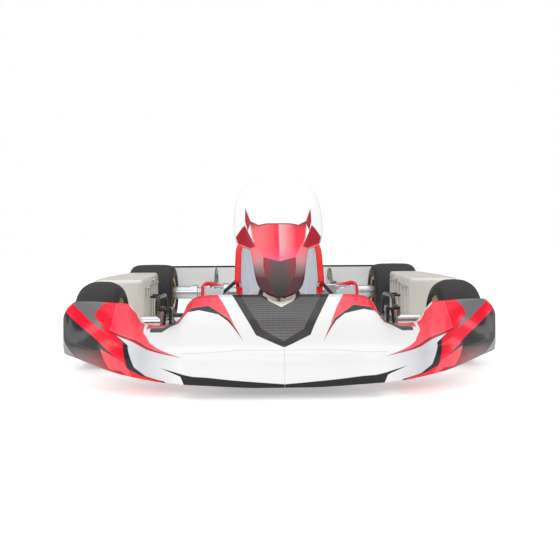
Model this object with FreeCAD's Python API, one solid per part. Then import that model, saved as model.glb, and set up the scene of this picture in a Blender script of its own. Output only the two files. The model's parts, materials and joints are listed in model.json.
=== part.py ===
"""Racing kart rolling chassis: tube frame, steering, wheels, rear axle, brake, seat and bodywork.

Millimetres. The kart faces -Y and +X is the driver's left. The wheels stand on z = 0, and the
origin is under the middle of the whole kart.
"""

import FreeCAD
import Part
import math
import os

# Driving dimensions
wheelbase = 1050.0
frontAxleY = -440.0
rearAxleY = frontAxleY + wheelbase
overallLength = 1820.0
tailY = overallLength / 2
overallHalfWidth = 700.0

frontTyreR, frontTyreW, frontTyreX = 129.0, 132.0, 557.0
rearTyreR, rearTyreW = 139.0, 214.0
rearTyreX = overallHalfWidth - rearTyreW / 2
rimR = 63.5                       # 5 inch rims

tubeR, tubeWall = 15.0, 2.0       # 30 mm frame tube
railZ = 55.0
railX = 330.0                     # main rails beside the rear axle
engineRailSpacing = 92.0          # engine clamp standard: 30 mm rails, 92 mm apart
engineRailX = railX - engineRailSpacing
kingpinX = 375.0
kingpinInclination, kingpinCaster = 8.0, 4.0
steerArm, pitmanArm = 100.0, 54.0
rearAxleR = 25.0
axleGap = 0.05                    # radial running clearance of every shaft in its bore

columnFoot = FreeCAD.Vector(0, -462, 76)
wheelCentre = FreeCAD.Vector(0, -84, 496)
steeringWheelR, gripR = 137.0, 13.0
columnR = 10.0
pitmanAlong = 76.0                # from the column's foot up to the pitman plate
seatShift = 16.0                  # the seat stands off centre, away from the engine
sheet = 4.0                       # bodywork wall

V = FreeCAD.Vector
X, Y, Z = V(1, 0, 0), V(0, 1, 0), V(0, 0, 1)
columnDir = (wheelCentre - columnFoot).normalize()
columnDown = columnDir.cross(X).normalize()
if columnDown.z > 0:
    columnDown = columnDown * -1


# Helpers

def save(name, shape):
    shape.exportStep("parts/" + name + ".step")


def block(x0, x1, y0, y1, z0, z1):
    return Part.makeBox(x1 - x0, y1 - y0, z1 - z0, V(x0, y0, z0))


def rod(start, end, radius):
    run = end - start
    return Part.makeCylinder(radius, run.Length, start, run)


def ring(start, end, radius, bore):
    return rod(start, end, radius).cut(rod(start, end, bore))


def fuseAll(shapes):
    return shapes[0].multiFuse(shapes[1:]).removeSplitter()


def mirrored(shape):
    return shape.mirror(V(0, 0, 0), X)


def largest(shape):
    """The biggest solid left after a cut."""
    return max(shape.Solids, key=lambda piece: piece.Volume)


def group(shapes):
    return Part.makeCompound(shapes)


def bentPath(points, bend):
    """Straight runs joined by tangent arcs of one bend radius."""
    edges, last = [], points[0]
    for before, corner, after in zip(points, points[1:], points[2:]):
        back, ahead = (before - corner).normalize(), (after - corner).normalize()
        turn = math.pi - back.getAngle(ahead)
        if turn < 0.01:
            continue
        reach = bend * math.tan(turn / 2)
        middle = (back + ahead).normalize() * (bend / math.cos(turn / 2) - bend)
        start, end = corner + back * reach, corner + ahead * reach
        edges += [Part.LineSegment(last, start).toShape(), Part.Arc(start, corner + middle, end).toShape()]
        last = end
    edges.append(Part.LineSegment(last, points[-1]).toShape())
    return Part.Wire(edges)


def sweepCircle(path, start, direction, radius):
    circle = Part.Wire([Part.makeCircle(radius, start, direction)])
    return path.makePipeShell([circle], True, False)


def tube(points, radius=tubeR, wall=tubeWall, bend=60.0):
    """A bent tube, open at both ends."""
    path, direction = bentPath(points, bend), points[1] - points[0]
    outside = sweepCircle(path, points[0], direction, radius)
    return outside.cut(sweepCircle(path, points[0], direction, radius - wall))


def solidTube(points, radius=tubeR, bend=60.0):
    """The full round bar that a tube would fill, used to cope what meets it."""
    return sweepCircle(bentPath(points, bend), points[0], points[1] - points[0], radius)


def lathe(profile, centre, axis=X):
    """Turn a profile of (distance along the axis, radius) pairs about an axis through centre."""
    across = Z if abs(axis.z) < 0.5 else Y
    wire = Part.makePolygon([centre + axis * a + across * r for a, r in profile + profile[:1]])
    return Part.Face(wire).revolve(centre, axis, 360)


def skin(sections):
    """A thin closed solid through a row of closed polygons with matching corners."""
    wires = [Part.makePolygon(points + points[:1]) for points in sections]
    return Part.makeLoft(wires, True, True)


def offsetOpen(points, distance):
    """Move an open outline of (u, v) pairs sideways, to its right-hand side as it runs."""
    normals = []
    for (u0, v0), (u1, v1) in zip(points, points[1:]):
        length = math.hypot(u1 - u0, v1 - v0)
        normals.append(((v1 - v0) / length, (u0 - u1) / length))
    moved = []
    for index, (u, v) in enumerate(points):
        a, b = normals[max(index - 1, 0)], normals[min(index, len(normals) - 1)]
        scale = distance / (1 + a[0] * b[0] + a[1] * b[1])
        moved.append((u + (a[0] + b[0]) * scale, v + (a[1] + b[1]) * scale))
    return moved


def boltRing(centre, axis, pitchR, count, radius, length, first=0.0):
    """Cylinders on a pitch circle, running along the axis from its centre plane."""
    across = Z if abs(axis.z) < 0.5 else Y
    spoke, bolts = across * pitchR, []
    for number in range(count):
        turned = FreeCAD.Rotation(axis, first + 360.0 * number / count).multVec(spoke)
        bolts.append(Part.makeCylinder(radius, length, centre + turned, axis))
    return bolts


def hexHead(centre, axis, acrossFlats, height):
    across = Z if abs(axis.z) < 0.5 else Y
    spoke = across * (acrossFlats / math.sqrt(3))
    corners = [centre + FreeCAD.Rotation(axis, 60 * k).multVec(spoke) for k in range(7)]
    return Part.Face(Part.makePolygon(corners)).extrude(axis * height)


# Tube frame

crossTubeY = frontAxleY + 15
hoopFrontY = -640.0
seatTubeY, rearTubeY, railEndY = -20.0, 440.0, 700.0
railFrontX = 188.0
hoopX = 262.0
yokePlateX = 338.0

railPoints = [V(railFrontX, crossTubeY, railZ), V(railFrontX, -330, railZ),
              V(railX, -60, railZ), V(railX, railEndY, railZ)]
hoopPoints = [V(hoopX, crossTubeY, railZ), V(hoopX, hoopFrontY, railZ),
              V(-hoopX, hoopFrontY, railZ), V(-hoopX, crossTubeY, railZ)]
engineRailStart, engineRailEnd = V(-engineRailX, seatTubeY, railZ), V(-engineRailX, railEndY, railZ)


def makeFrame():
    crossStart, crossEnd = V(-yokePlateX, crossTubeY, railZ), V(yokePlateX, crossTubeY, railZ)
    crossBar = rod(crossStart, crossEnd, tubeR)
    save("front_cross_tube", ring(crossStart, crossEnd, tubeR, tubeR - tubeWall))
    rightRail = tube(railPoints, bend=150).cut(crossBar)
    railBar = solidTube(railPoints, bend=150)
    save("rail_left", rightRail)
    save("rail_right", mirrored(rightRail))
    save("front_hoop", tube(hoopPoints, bend=80).cut(crossBar))
    sides = [railBar, mirrored(railBar)]
    seatTube = ring(V(-railX, seatTubeY, railZ), V(railX, seatTubeY, railZ), tubeR, tubeR - tubeWall)
    seatBar = rod(V(-railX, seatTubeY, railZ), V(railX, seatTubeY, railZ), tubeR)
    save("seat_cross_tube", seatTube.cut(sides[0]).cut(sides[1]).Solids[0])
    engineTube = ring(engineRailStart, engineRailEnd, tubeR, tubeR - tubeWall)
    save("engine_rail", engineTube.cut(seatBar).Solids[-1])
    engineBar = rod(engineRailStart, engineRailEnd, tubeR)
    rearTube = ring(V(-engineRailX, rearTubeY, railZ), V(railX, rearTubeY, railZ), tubeR, tubeR - tubeWall)
    save("rear_cross_tube", rearTube.cut(engineBar).cut(sides[0]).Solids[0])


# Kingpins: everything here is built upright on the kingpin axis and then tilted with it

kingpinPoint = V(kingpinX, frontAxleY, frontTyreR)
kingpinR = 5.0
earHalfGap, earThick = 34.0, 8.0
barrelR = 15.0


def tilted(shape):
    turned = shape.copy()
    turned.rotate(kingpinPoint, Y, -kingpinInclination)
    turned.rotate(kingpinPoint, X, -kingpinCaster)
    return turned


kingpinAxis = FreeCAD.Rotation(X, -kingpinCaster).multVec(
    FreeCAD.Rotation(Y, -kingpinInclination).multVec(Z))


def makeYoke():
    x, y, z = kingpinX, frontAxleY, frontTyreR
    ears = []
    for level in (z + earHalfGap, z - earHalfGap - earThick):
        nose = Part.makeCylinder(17, earThick, V(x, y, level))
        ears.append(fuseAll([nose, block(yokePlateX + 4, x, y - 17, y + 17, level, level + earThick)]))
    bore = Part.makeCylinder(kingpinR + 0.02, 140, V(x, y, z - 70))
    ears = [tilted(ear.cut(bore)) for ear in ears]
    plate = block(yokePlateX, yokePlateX + 9, y - 17, y + 17, railZ - 14, z + earHalfGap + 12)
    weld = block(yokePlateX, yokePlateX + 9, y - 17, y + 32, railZ - 14, railZ + 26)
    return fuseAll([plate, weld] + ears)


def makeKingpinBolt():
    x, y, z = kingpinX, frontAxleY, frontTyreR
    top, bottom = z + earHalfGap + earThick, z - earHalfGap - earThick
    shank = Part.makeCylinder(kingpinR, top - bottom + 12, V(x, y, bottom - 12))
    head = hexHead(V(x, y, top), Z, 17, 7)
    nut = hexHead(V(x, y, bottom), V(0, 0, -1), 17, 9).cut(shank)
    return [tilted(fuseAll([shank, head])), tilted(nut)]


stubR = 12.5
stubEndX, stubNutX = 610.0, 595.0
armEnd = V(kingpinX - 20, frontAxleY + steerArm, frontTyreR - 22)


def makeStubAxle():
    x, y, z = kingpinX, frontAxleY, frontTyreR
    half = earHalfGap - 0.4
    barrel = tilted(Part.makeCylinder(barrelR, 2 * half, V(x, y, z - half)))
    bore = tilted(Part.makeCylinder(kingpinR + axleGap, 2 * half + 2, V(x, y, z - half - 1)))
    stub = rod(V(x, y, z), V(stubEndX, y, z), stubR)
    shoulder = rod(V(x, y, z), V(hubInnerX - 3, y, z), stubR + 6)
    arm = rod(V(x - 4, y + 4, z - 10), armEnd + V(0, -12, -3), 7)
    eye = rod(armEnd - kingpinAxis * 4, armEnd + kingpinAxis * 4, 11)
    eyeHole = rod(armEnd - kingpinAxis * 5, armEnd + kingpinAxis * 5, 4 + axleGap)
    return fuseAll([barrel, stub, shoulder, arm, eye]).cut(bore).cut(eyeHole)


# Steering

pitmanPoint = columnFoot + columnDir * pitmanAlong
rodInner = pitmanPoint + columnDown * pitmanArm + X * 12
plateThick = 5.0
wheelDish = 22.0                  # how far the grip ring stands proud of the wheel's centre plate
columnEnd = wheelCentre - columnDir * (wheelDish + 26)
upperBushAlong = 330.0


def makeColumn():
    shaft = rod(columnFoot - columnDir * 12, columnEnd, columnR)
    arm = Part.makePolygon([pitmanPoint + offset for offset in (
        X * 17 - columnDown * 17, X * 24 + columnDown * (pitmanArm + 12),
        X * -24 + columnDown * (pitmanArm + 12), X * -17 - columnDown * 17, X * 17 - columnDown * 17)])
    plate = Part.Face(arm).extrude(columnDir * plateThick)
    for side in (1, -1):
        hole = rodInner - X * 12 + X * 12 * side
        plate = plate.cut(rod(hole - columnDir * 2, hole + columnDir * (plateThick + 2), 4.2))
    collar = ring(columnFoot + columnDir * 10, columnFoot + columnDir * 18, columnR + 5, columnR - 1)
    return fuseAll([shaft, plate, collar])


def makeTieRod():
    """Left rod with a ball eye at each end; the inner stud stops just under the pitman plate."""
    innerEye = rodInner - columnDir * 9
    outerEye = armEnd + kingpinAxis * 12
    along = (innerEye - outerEye).normalize()
    shaft = rod(outerEye + along * 9, innerEye - along * 9, 6)
    eyes = [rod(outerEye - kingpinAxis * 7, outerEye + kingpinAxis * 4, 10),
            rod(innerEye - columnDir * 5.5, innerEye + columnDir * 5.5, 10)]
    stud = rod(innerEye - columnDir * 9, rodInner - columnDir * 0.6, 3.9)
    lowerStud = rod(armEnd - kingpinAxis * 8, armEnd + kingpinAxis * 20, 4)
    return fuseAll([shaft, stud, lowerStud] + eyes)


def makeBoss():
    """Alloy hub that clamps the wheel's three spokes to the column."""
    face = wheelCentre - columnDir * wheelDish
    sleeve = rod(columnEnd - columnDir * 26, face - columnDir * 3, 17)
    flange = rod(face - columnDir * 8, face, 34)
    return fuseAll([sleeve, flange]).cut(rod(columnFoot, columnEnd, columnR))


def makeSteeringWheel():
    grip = Part.makeTorus(steeringWheelR, gripR, wheelCentre, columnDir)
    face = wheelCentre - columnDir * wheelDish
    plate = rod(face, face + columnDir * 4, 40)
    spokes = []
    for angle in (90, 180, 270):
        outward = FreeCAD.Rotation(columnDir, angle).multVec(columnDown * -1)
        side = columnDir.cross(outward)
        inner, outer = face + outward * 30, face + outward * (steeringWheelR - 6)
        corners = [inner - side * 20, outer - side * 14, outer + side * 14, inner + side * 20]
        lifted = [corners[0], corners[1] + columnDir * 18, corners[2] + columnDir * 18, corners[3]]
        spoke = Part.Face(Part.makePolygon(lifted + lifted[:1])).extrude(columnDir * 4)
        spokes.append(spoke)
    return fuseAll([grip, plate] + spokes)


def makeColumnSupport():
    """Bent legs from the front cross tube to the upper clamp, and the lower socket ahead of it."""
    clampPoint = columnFoot + columnDir * upperBushAlong
    legs = []
    for side in (1, -1):
        points = [V(70 * side, crossTubeY, railZ + 4), V(62 * side, crossTubeY, 210),
                  clampPoint + X * 14 * side]
        legs.append(solidTube(points, radius=8, bend=40))
    clamp = rod(clampPoint - columnDir * 14, clampPoint + columnDir * 14, 23)
    socket = rod(columnFoot - columnDir * 8, columnFoot + columnDir * 8, 21)
    gusset = block(-20, 20, columnFoot.y, crossTubeY, railZ - 8, railZ + 8)
    cross = rod(V(-90, crossTubeY, railZ), V(90, crossTubeY, railZ), tubeR)
    upper = fuseAll(legs + [clamp]).cut(cross)
    lower = fuseAll([socket, gusset]).cut(cross)
    throughHole = rod(columnFoot - columnDir * 20, columnFoot + columnDir * 400, 16)
    return [upper.cut(throughHole), lower.cut(throughHole)]


def makeBushes():
    bushes = []
    for along, half in ((0.0, 8.0), (upperBushAlong, 14.0)):
        centre = columnFoot + columnDir * along
        bushes.append(ring(centre - columnDir * half, centre + columnDir * half, 16, columnR + axleGap))
    return bushes


# Wheels: profiles are (distance outboard of the wheel's middle, radius)

hubInnerX = 455.0
webThick = 8.0


def tyreProfile(radius, width, rim):
    half, wall = width / 2, 9.0
    outer = [(-half + 16, rim + 2), (-half + 15.8, rim + 15), (-half + 3, rim + 22), (-half, radius - 34),
             (-half + 7, radius - 12),
             (-half + 24, radius - 1.5), (0, radius), (half - 24, radius - 1.5), (half - 7, radius - 12),
             (half, radius - 34), (half - 3, rim + 22), (half - 15.8, rim + 15), (half - 16, rim + 2)]
    inner = [(half - 16 - wall, rim + 2), (half - 14 - wall, rim + 20), (half - wall, radius - 36),
             (half - 14, radius - 18), (0, radius - wall), (-half + 14, radius - 18),
             (-half + wall, radius - 36), (-half + 14 + wall, rim + 20), (-half + 16 + wall, rim + 2)]
    return outer + inner


def rimProfile(width, rim, hubR, webAt):
    half, wall = width / 2 - 10, 4.0
    shell = [(-half, rim + 10), (-half, rim + 14), (-half + 4, rim + 14), (-half + 5, rim),
             (half - 5, rim), (half - 4, rim + 14), (half, rim + 14), (half, rim + 10)]
    inside = [(half - 2, rim - wall), (webAt + webThick, rim - wall - 2), (webAt + webThick, hubR),
              (webAt, hubR), (webAt, rim - wall - 2), (-half + 2, rim - wall)]
    return shell + inside


def makeTyre(radius, width, centre):
    return lathe(tyreProfile(radius, width, rimR), centre)


def makeRim(width, centre, hubR, webAt, boltPitch, boltCount):
    rim = lathe(rimProfile(width, rimR, hubR, webAt), centre)
    start = centre + X * (webAt - 1)
    for hole in boltRing(start, X, boltPitch, boltCount, 4.2, webThick + 2):
        rim = rim.cut(hole)
    for hole in boltRing(start, X, boltPitch + 11, boltCount * 2, 4.5, webThick + 2, first=30):
        rim = rim.cut(hole)
    return rim


frontWebAt, rearWebAt = 12.0, 30.0
frontHubR, rearHubR = 21.0, 32.0
frontBoltPitch, rearBoltPitch = 29.0, 39.0


def wheelBolts(webX, y, z, pitch, count):
    """Studs from the hub's flange through the rim's web, each with its nut."""
    bolts = []
    for shank in boltRing(V(webX, y, z), X, pitch, count, 4, webThick):
        bolts.append(shank)
    for k in range(count):
        spoke = FreeCAD.Rotation(X, 360.0 * k / count).multVec(Z * pitch)
        bolts.append(hexHead(V(webX + webThick, y, z) + spoke, X, 12, 7))
    return bolts


def makeFrontHub():
    y, z = frontAxleY, frontTyreR
    webX = frontTyreX + frontWebAt
    sleeve = rod(V(hubInnerX, y, z), V(webX + webThick + 16, y, z), frontHubR - 0.2)
    flange = rod(V(webX - 9, y, z), V(webX, y, z), 37)
    hub = fuseAll([sleeve, flange] + wheelBolts(webX, y, z, frontBoltPitch, 3))
    bore = rod(V(hubInnerX - 1, y, z), V(webX + webThick + 21, y, z), stubR + axleGap)
    return hub.cut(bore)


def makeStubNut():
    y, z = frontAxleY, frontTyreR
    nut = hexHead(V(stubNutX, y, z), X, 34, 12)
    return nut.cut(rod(V(stubEndX - 30, y, z), V(stubEndX, y, z), stubR))


def makeFrontWheel():
    centre = V(frontTyreX, frontAxleY, frontTyreR)
    rim = makeRim(frontTyreW, centre, frontHubR, frontWebAt, frontBoltPitch, 3)
    return rim, makeTyre(frontTyreR, frontTyreW, centre)


# Rear axle

axleZ = rearTyreR
axleEndX = 640.0
rearHubInnerX = 378.0
carrierHalf = 14.0
sprocketX = -(railX + engineRailX) / 2
discX = 278.0
sprocketR, discR = 122.0, 118.0


def makeRearAxle():
    start, end = V(-axleEndX, rearAxleY, axleZ), V(axleEndX, rearAxleY, axleZ)
    return ring(start, end, rearAxleR, rearAxleR - 3)


def makeRearHub():
    webX = rearTyreX + rearWebAt
    y, z = rearAxleY, axleZ
    sleeve = rod(V(rearHubInnerX, y, z), V(webX + webThick + 12, y, z), rearHubR - 0.2)
    clampCollar = rod(V(rearHubInnerX, y, z), V(rearHubInnerX + 30, y, z), 38)
    flange = rod(V(webX - 10, y, z), V(webX, y, z), 52)
    hub = fuseAll([sleeve, clampCollar, flange] + wheelBolts(webX, y, z, rearBoltPitch, 3))
    hub = hub.cut(rod(V(rearHubInnerX - 1, y, z), V(webX + 40, y, z), rearAxleR))
    return hub.cut(block(rearHubInnerX - 1, rearHubInnerX + 28, y - 1.5, y + 1.5, z + 20, z + 40))


def makeRearWheel():
    centre = V(rearTyreX, rearAxleY, axleZ)
    rim = makeRim(rearTyreW, centre, rearHubR, rearWebAt, rearBoltPitch, 3)
    return rim, makeTyre(rearTyreR, rearTyreW, centre)


def makeBearingCarriers():
    """Clamp blocks on the three rails; each holds one axle bearing."""
    carriers, bearings = [], []
    for x in (railX, -railX, -engineRailX):
        lower = block(x - carrierHalf, x + carrierHalf, rearAxleY - 34, rearAxleY + 34,
                      railZ + 4, axleZ)
        round_ = rod(V(x - carrierHalf, rearAxleY, axleZ), V(x + carrierHalf, rearAxleY, axleZ), 46)
        bore = rod(V(x - 20, rearAxleY, axleZ), V(x + 20, rearAxleY, axleZ), 38)
        rail = rod(V(x, rearAxleY - 60, railZ), V(x, rearAxleY + 60, railZ), tubeR)
        carriers.append(fuseAll([lower, round_]).cut(bore).cut(rail))
        bearings.append(ring(V(x - 9, rearAxleY, axleZ), V(x + 9, rearAxleY, axleZ), 38,
                             rearAxleR + axleGap))
    return carriers, bearings


def makeSprocket():
    teeth, root = 40, sprocketR - 6
    start = V(sprocketX - 2.5, rearAxleY, axleZ)
    corners = []
    for k in range(teeth):
        for part, radius in ((0.0, root), (0.3, sprocketR), (0.55, sprocketR), (0.8, root)):
            turned = FreeCAD.Rotation(X, 360.0 * (k + part) / teeth).multVec(Z * radius)
            corners.append(start + turned)
    plate = Part.Face(Part.makePolygon(corners + corners[:1])).extrude(X * 5)
    plate = plate.cut(rod(start - X, start + X * 7, 40))
    for hole in boltRing(start - X, X, 82, 6, 22, 8, first=30):
        plate = plate.cut(hole)
    return plate


def makeBrakeDisc():
    start = V(discX - 4, rearAxleY, axleZ)
    disc = ring(start, start + X * 8, discR, 62)
    for pitch, first in ((76, 0), (90, 12), (104, 24)):
        for hole in boltRing(start - X, X, pitch, 10, 4, 10, first=first):
            disc = disc.cut(hole)
    return disc


def makeAxleCarriers():
    """Split hubs on the axle: the sprocket's and the brake disc's."""
    shapes = []
    for x, halfThick, flangeR, spigotR in ((sprocketX, 2.5, 54, 39.5), (discX, discHalf, 70, 61.5)):
        side = 1 if x > 0 else -1
        sleeve = rod(V(x - 18, rearAxleY, axleZ), V(x + 18, rearAxleY, axleZ), 36)
        flangeStart = V(x - side * halfThick, rearAxleY, axleZ)
        flange = rod(flangeStart, flangeStart - X * side * 6, flangeR)
        spigot = rod(flangeStart, flangeStart + X * side * 2 * halfThick, spigotR)
        hub = fuseAll([sleeve, flange, spigot])
        shapes.append(hub.cut(rod(V(x - 30, rearAxleY, axleZ), V(x + 30, rearAxleY, axleZ), rearAxleR)))
    return shapes


# Brake

caliperY, caliperZ = rearAxleY - 96, axleZ + 16
padThick, padTravel = 8.0, 1.0
discHalf = 4.0


def makeCaliper():
    body = block(discX - 36, discX + 32, caliperY - 34, caliperY + 22, caliperZ - 30, caliperZ + 30)
    body = body.makeFillet(7, body.Edges)
    slot = block(discX - discHalf - padThick - padTravel - 0.2, discX + discHalf + padThick + padTravel + 0.2,
                 caliperY - 22, caliperY + 40, caliperZ - 40, caliperZ + 40)
    hanger = block(discX + 14, discX + 32, caliperY - 16, caliperY + 8, railZ - 6, caliperZ - 20)
    foot = block(discX + 14, railX - 4, caliperY - 16, caliperY + 8, railZ - 6, railZ + 8)
    railBar = rod(V(railX, 0, railZ), V(railX, railEndY, railZ), tubeR)
    return fuseAll([body.cut(slot), hanger, foot]).cut(railBar)


def makePad(side):
    inner = discX + side * (discHalf + padTravel)
    outer = inner + side * padThick
    return block(min(inner, outer), max(inner, outer), caliperY - 18, caliperY + 16,
                 caliperZ - 22, caliperZ + 22)


masterZ = 130.0
masterFrontY, masterRearY = -300.0, -208.0
pushrodX = 208.0


def makeMasterCylinder():
    """Brake master cylinder on the floor's left side, with its reservoir and hose union."""
    start, end = V(pushrodX, masterFrontY, masterZ), V(pushrodX, masterRearY, masterZ)
    body = rod(start, end, 15)
    tank = Part.makeCylinder(17, 26, V(pushrodX, (masterFrontY + masterRearY) / 2, masterZ + 12))
    foot = block(pushrodX - 15, pushrodX + 15, masterFrontY + 14, masterRearY - 8, trayTop, masterZ)
    union = rod(end, end + Y * 12, 6)
    railBar = solidTube(railPoints, bend=150)
    bore = rod(start - Y, start + Y * 46, 7 + axleGap)
    return fuseAll([body, tank, foot, union]).cut(bore).cut(railBar)


# Pedals

pedalPivot = V(0, -560, 78)
pedalInnerX, pedalOuterX = 164.0, 240.0
pedalTop = V(0, -506, 258)


def makePedal():
    """Left pedal: a bent round bar on a pivot tube, with a thin foot plate inside the bend."""
    innerX, outerX = pedalInnerX + 7, pedalOuterX - 7
    points = [V(outerX, pedalPivot.y, pedalPivot.z), V(outerX, pedalTop.y, pedalTop.z),
              V(innerX, pedalTop.y + 2, pedalTop.z - 16)]
    bar = solidTube(points, radius=6.5, bend=16)
    pivot = rod(V(outerX - 50, pedalPivot.y, pedalPivot.z), V(outerX + 7, pedalPivot.y, pedalPivot.z), 10)
    corners = [pedalPivot + (pedalTop - pedalPivot) * share + V(x, -1.5, 0)
               for x, share in ((outerX, 0.5), (outerX, 0.94), (innerX, 0.86), (innerX + 8, 0.5))]
    plate = Part.Face(Part.makePolygon(corners + corners[:1])).extrude(V(0, 3, 0))
    bore = rod(V(outerX - 60, pedalPivot.y, pedalPivot.z), V(outerX + 20, pedalPivot.y, pedalPivot.z),
               5 + axleGap)
    return fuseAll([bar, pivot, plate]).cut(bore)


pushPin = V(pushrodX, pedalPivot.y + 16, masterZ)


def makeBrakePedal(pedal):
    """The left pedal with a lug and pin that work the master cylinder's pushrod."""
    foot = V(pushrodX - 3, pedalPivot.y, pedalPivot.z)
    lug = rod(pushPin - X * 3, pushPin + X * 3, 8)
    corners = [foot + Y * 8, foot + V(0, 24, pushPin.z - foot.z), foot + V(0, 8, pushPin.z - foot.z),
               foot - Y * 8]
    web = Part.Face(Part.makePolygon(corners + corners[:1])).extrude(X * 6)
    bore = rod(V(pushrodX - 20, pedalPivot.y, pedalPivot.z), V(pushrodX + 20, pedalPivot.y, pedalPivot.z),
               5 + axleGap)
    pin = rod(pushPin - X * 8, pushPin + X * 8, 3)
    return fuseAll([pedal, lug, web, pin]).cut(bore)


def makePushrod():
    """Fork, rod and piston; the fork's pin hole leaves room for the pin's small rise."""
    fork = block(pushrodX - 8, pushrodX + 8, pushPin.y - 11, pushPin.y + 18, masterZ - 10, masterZ + 10)
    fork = fork.cut(block(pushrodX - 4, pushrodX + 4, pushPin.y - 12, pushPin.y + 12,
                          masterZ - 12, masterZ + 12))
    fork = fork.cut(rod(pushPin - X * 10, pushPin + X * 10, 6.5))
    bar = rod(pushPin + Y * 16, V(pushrodX, masterFrontY + 24, masterZ), 4)
    piston = rod(V(pushrodX, masterFrontY + 16, masterZ), V(pushrodX, masterFrontY + 40, masterZ), 7)
    return fuseAll([fork, bar, piston])


def makePedalBracket():
    """Left bracket: two ears on the tray and the pin between them."""
    y, z = pedalPivot.y, pedalPivot.z
    ears = [block(x, x + 4, y - 14, y + 14, trayTop, z + 12)
            for x in (pedalOuterX - 62.5, pedalOuterX + 1)]
    foot = block(pedalOuterX - 62.5, pedalOuterX + 5, y - 14, y + 14, trayTop, trayTop + 4)
    pin = rod(V(pedalOuterX - 66, y, z), V(pedalOuterX + 9, y, z), 5)
    return fuseAll(ears + [foot, pin])


def makeSpring():
    """Left return spring, a plain cylinder of the coil's outer size ahead of the pedal."""
    return rod(V(192, hoopFrontY + 17, railZ + 12), V(192, pedalPivot.y - 12, pedalPivot.z + 2), 5)


# Floor, tank, seat

trayThick = 2.5
trayTop = railZ - tubeR - 0.2


def makeTray():
    corners = [V(-hoopX - 8, -480, trayTop), V(-hoopX - 8, -612, trayTop), V(-225, hoopFrontY - 10, trayTop),
               V(225, hoopFrontY - 10, trayTop), V(hoopX + 8, -612, trayTop), V(hoopX + 8, -480, trayTop),
               V(railFrontX + 12, -330, trayTop), V(300, -100, trayTop), V(300, seatTubeY + 12, trayTop),
               V(-300, seatTubeY + 12, trayTop), V(-300, -100, trayTop), V(-railFrontX - 12, -330, trayTop)]
    return Part.Face(Part.makePolygon(corners + corners[:1])).extrude(V(0, 0, -trayThick))


tankHalfX, tankFrontY, tankRearY = 105.0, -330.0, -140.0
tankTop = 205.0
capPoint = V(-40, -200, tankTop)


def makeTank():
    """Floor-standing fuel tank between the knees, under the steering column."""
    profile = [V(-tankHalfX, tankFrontY, trayTop), V(-tankHalfX, tankRearY, trayTop),
               V(-tankHalfX, tankRearY, tankTop), V(-tankHalfX, -240, tankTop),
               V(-tankHalfX, tankFrontY, 110)]
    body = Part.Face(Part.makePolygon(profile + profile[:1])).extrude(X * 2 * tankHalfX)
    body = body.makeFillet(14, [edge for edge in body.Edges if edge.BoundBox.ZMax > trayTop + 1])
    groove = block(-18, 18, -260, -120, tankTop - 8, tankTop + 5)
    neck = Part.makeCylinder(20, 8, capPoint)
    air = [V(sheet - tankHalfX, tankFrontY + sheet, trayTop + sheet),
           V(sheet - tankHalfX, tankRearY - sheet, trayTop + sheet),
           V(sheet - tankHalfX, tankRearY - sheet, tankTop - 8 - sheet),
           V(sheet - tankHalfX, -243, tankTop - 8 - sheet), V(sheet - tankHalfX, tankFrontY + sheet, 106)]
    inside = Part.Face(Part.makePolygon(air + air[:1])).extrude(X * 2 * (tankHalfX - sheet))
    inside = inside.makeFillet(11, inside.Edges)
    return fuseAll([body.cut(groove), neck]).cut(inside).cut(Part.makeCylinder(14, 40, capPoint - Z * 30))


def makeCap():
    cap = Part.makeCylinder(24, 16, capPoint + Z * 8.1)
    for notch in boltRing(capPoint + Z * 8, Z, 26, 12, 3.2, 18):
        cap = cap.cut(notch)
    return cap.fuse(Part.makeCylinder(13.9, 14, capPoint - Z * 5))


seatWall, seatLip = 4.0, 28.0
seatSections = [   # base y, base z, lean of the inward normal from vertical, height, half base, half top
    (-35, 96, -16, 16, 128, 160), (60, 62, -3, 66, 140, 176), (150, 50, 6, 128, 142, 186),
    (228, 70, 33, 176, 140, 192), (282, 132, 60, 178, 138, 196), (316, 212, 68, 152, 144, 197),
    (346, 300, 70, 112, 158, 197), (366, 368, 71, 62, 150, 182), (382, 424, 72, 20, 92, 120)]


def seatFrame(section):
    """The point and two directions that carry one cross-section of the seat."""
    y, z, lean, height, halfBase, halfTop = section
    angle = math.radians(lean)
    return V(seatShift, y, z), V(0, -math.sin(angle), math.cos(angle)), height, halfBase, halfTop


def seatOutline(height, halfBase, halfTop):
    wallTop = halfTop - seatLip
    side = [(wallTop, height), ((halfBase + wallTop) / 2 + 6, height * 0.42),
            (halfBase - 8, height * 0.1), (halfBase - 46, 0)]
    return side + [(-u, v) for u, v in reversed(side)]


def makeSeat():
    sections, trims = [], ([], [])
    for section in seatSections:
        base, inward, height, halfBase, halfTop = seatFrame(section)
        outer = seatOutline(height, halfBase, halfTop)
        inner = offsetOpen(outer, seatWall)
        sections.append([base + X * u + inward * v for u, v in outer + inner[::-1]])
        low, high = height + 0.1, height + 5
        edge = [(halfTop - seatLip - 4, low), (halfTop, low), (halfTop, high), (halfTop - seatLip - 4, high)]
        trims[0].append([base + X * u + inward * v for u, v in edge])
        trims[1].append([base - X * u + inward * v for u, v in edge])
    return skin(sections), [skin(rows) for rows in trims]


def makeSeatStays():
    """Round stays from the rails up to the outer faces of the seat's sides."""
    rails = [solidTube(railPoints, bend=150), mirrored(solidTube(railPoints, bend=150))]
    stays = []
    for side in (1, -1):
        for footY, headY, headZ, seatHalf in ((40.0, 60.0, 108.0, 149.0), (300.0, 257.0, 236.0, 162.5)):
            foot = V(side * railX, footY, railZ + tubeR - 2)
            knee = V(side * (railX - 26), footY, railZ + tubeR + 26)
            head = V(side * (seatHalf - 1) + seatShift, headY, headZ)
            stay = solidTube([foot, knee, head], radius=8, bend=20)
            stays.append(stay.cut(rails[0]).cut(rails[1]))
    return stays


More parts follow.
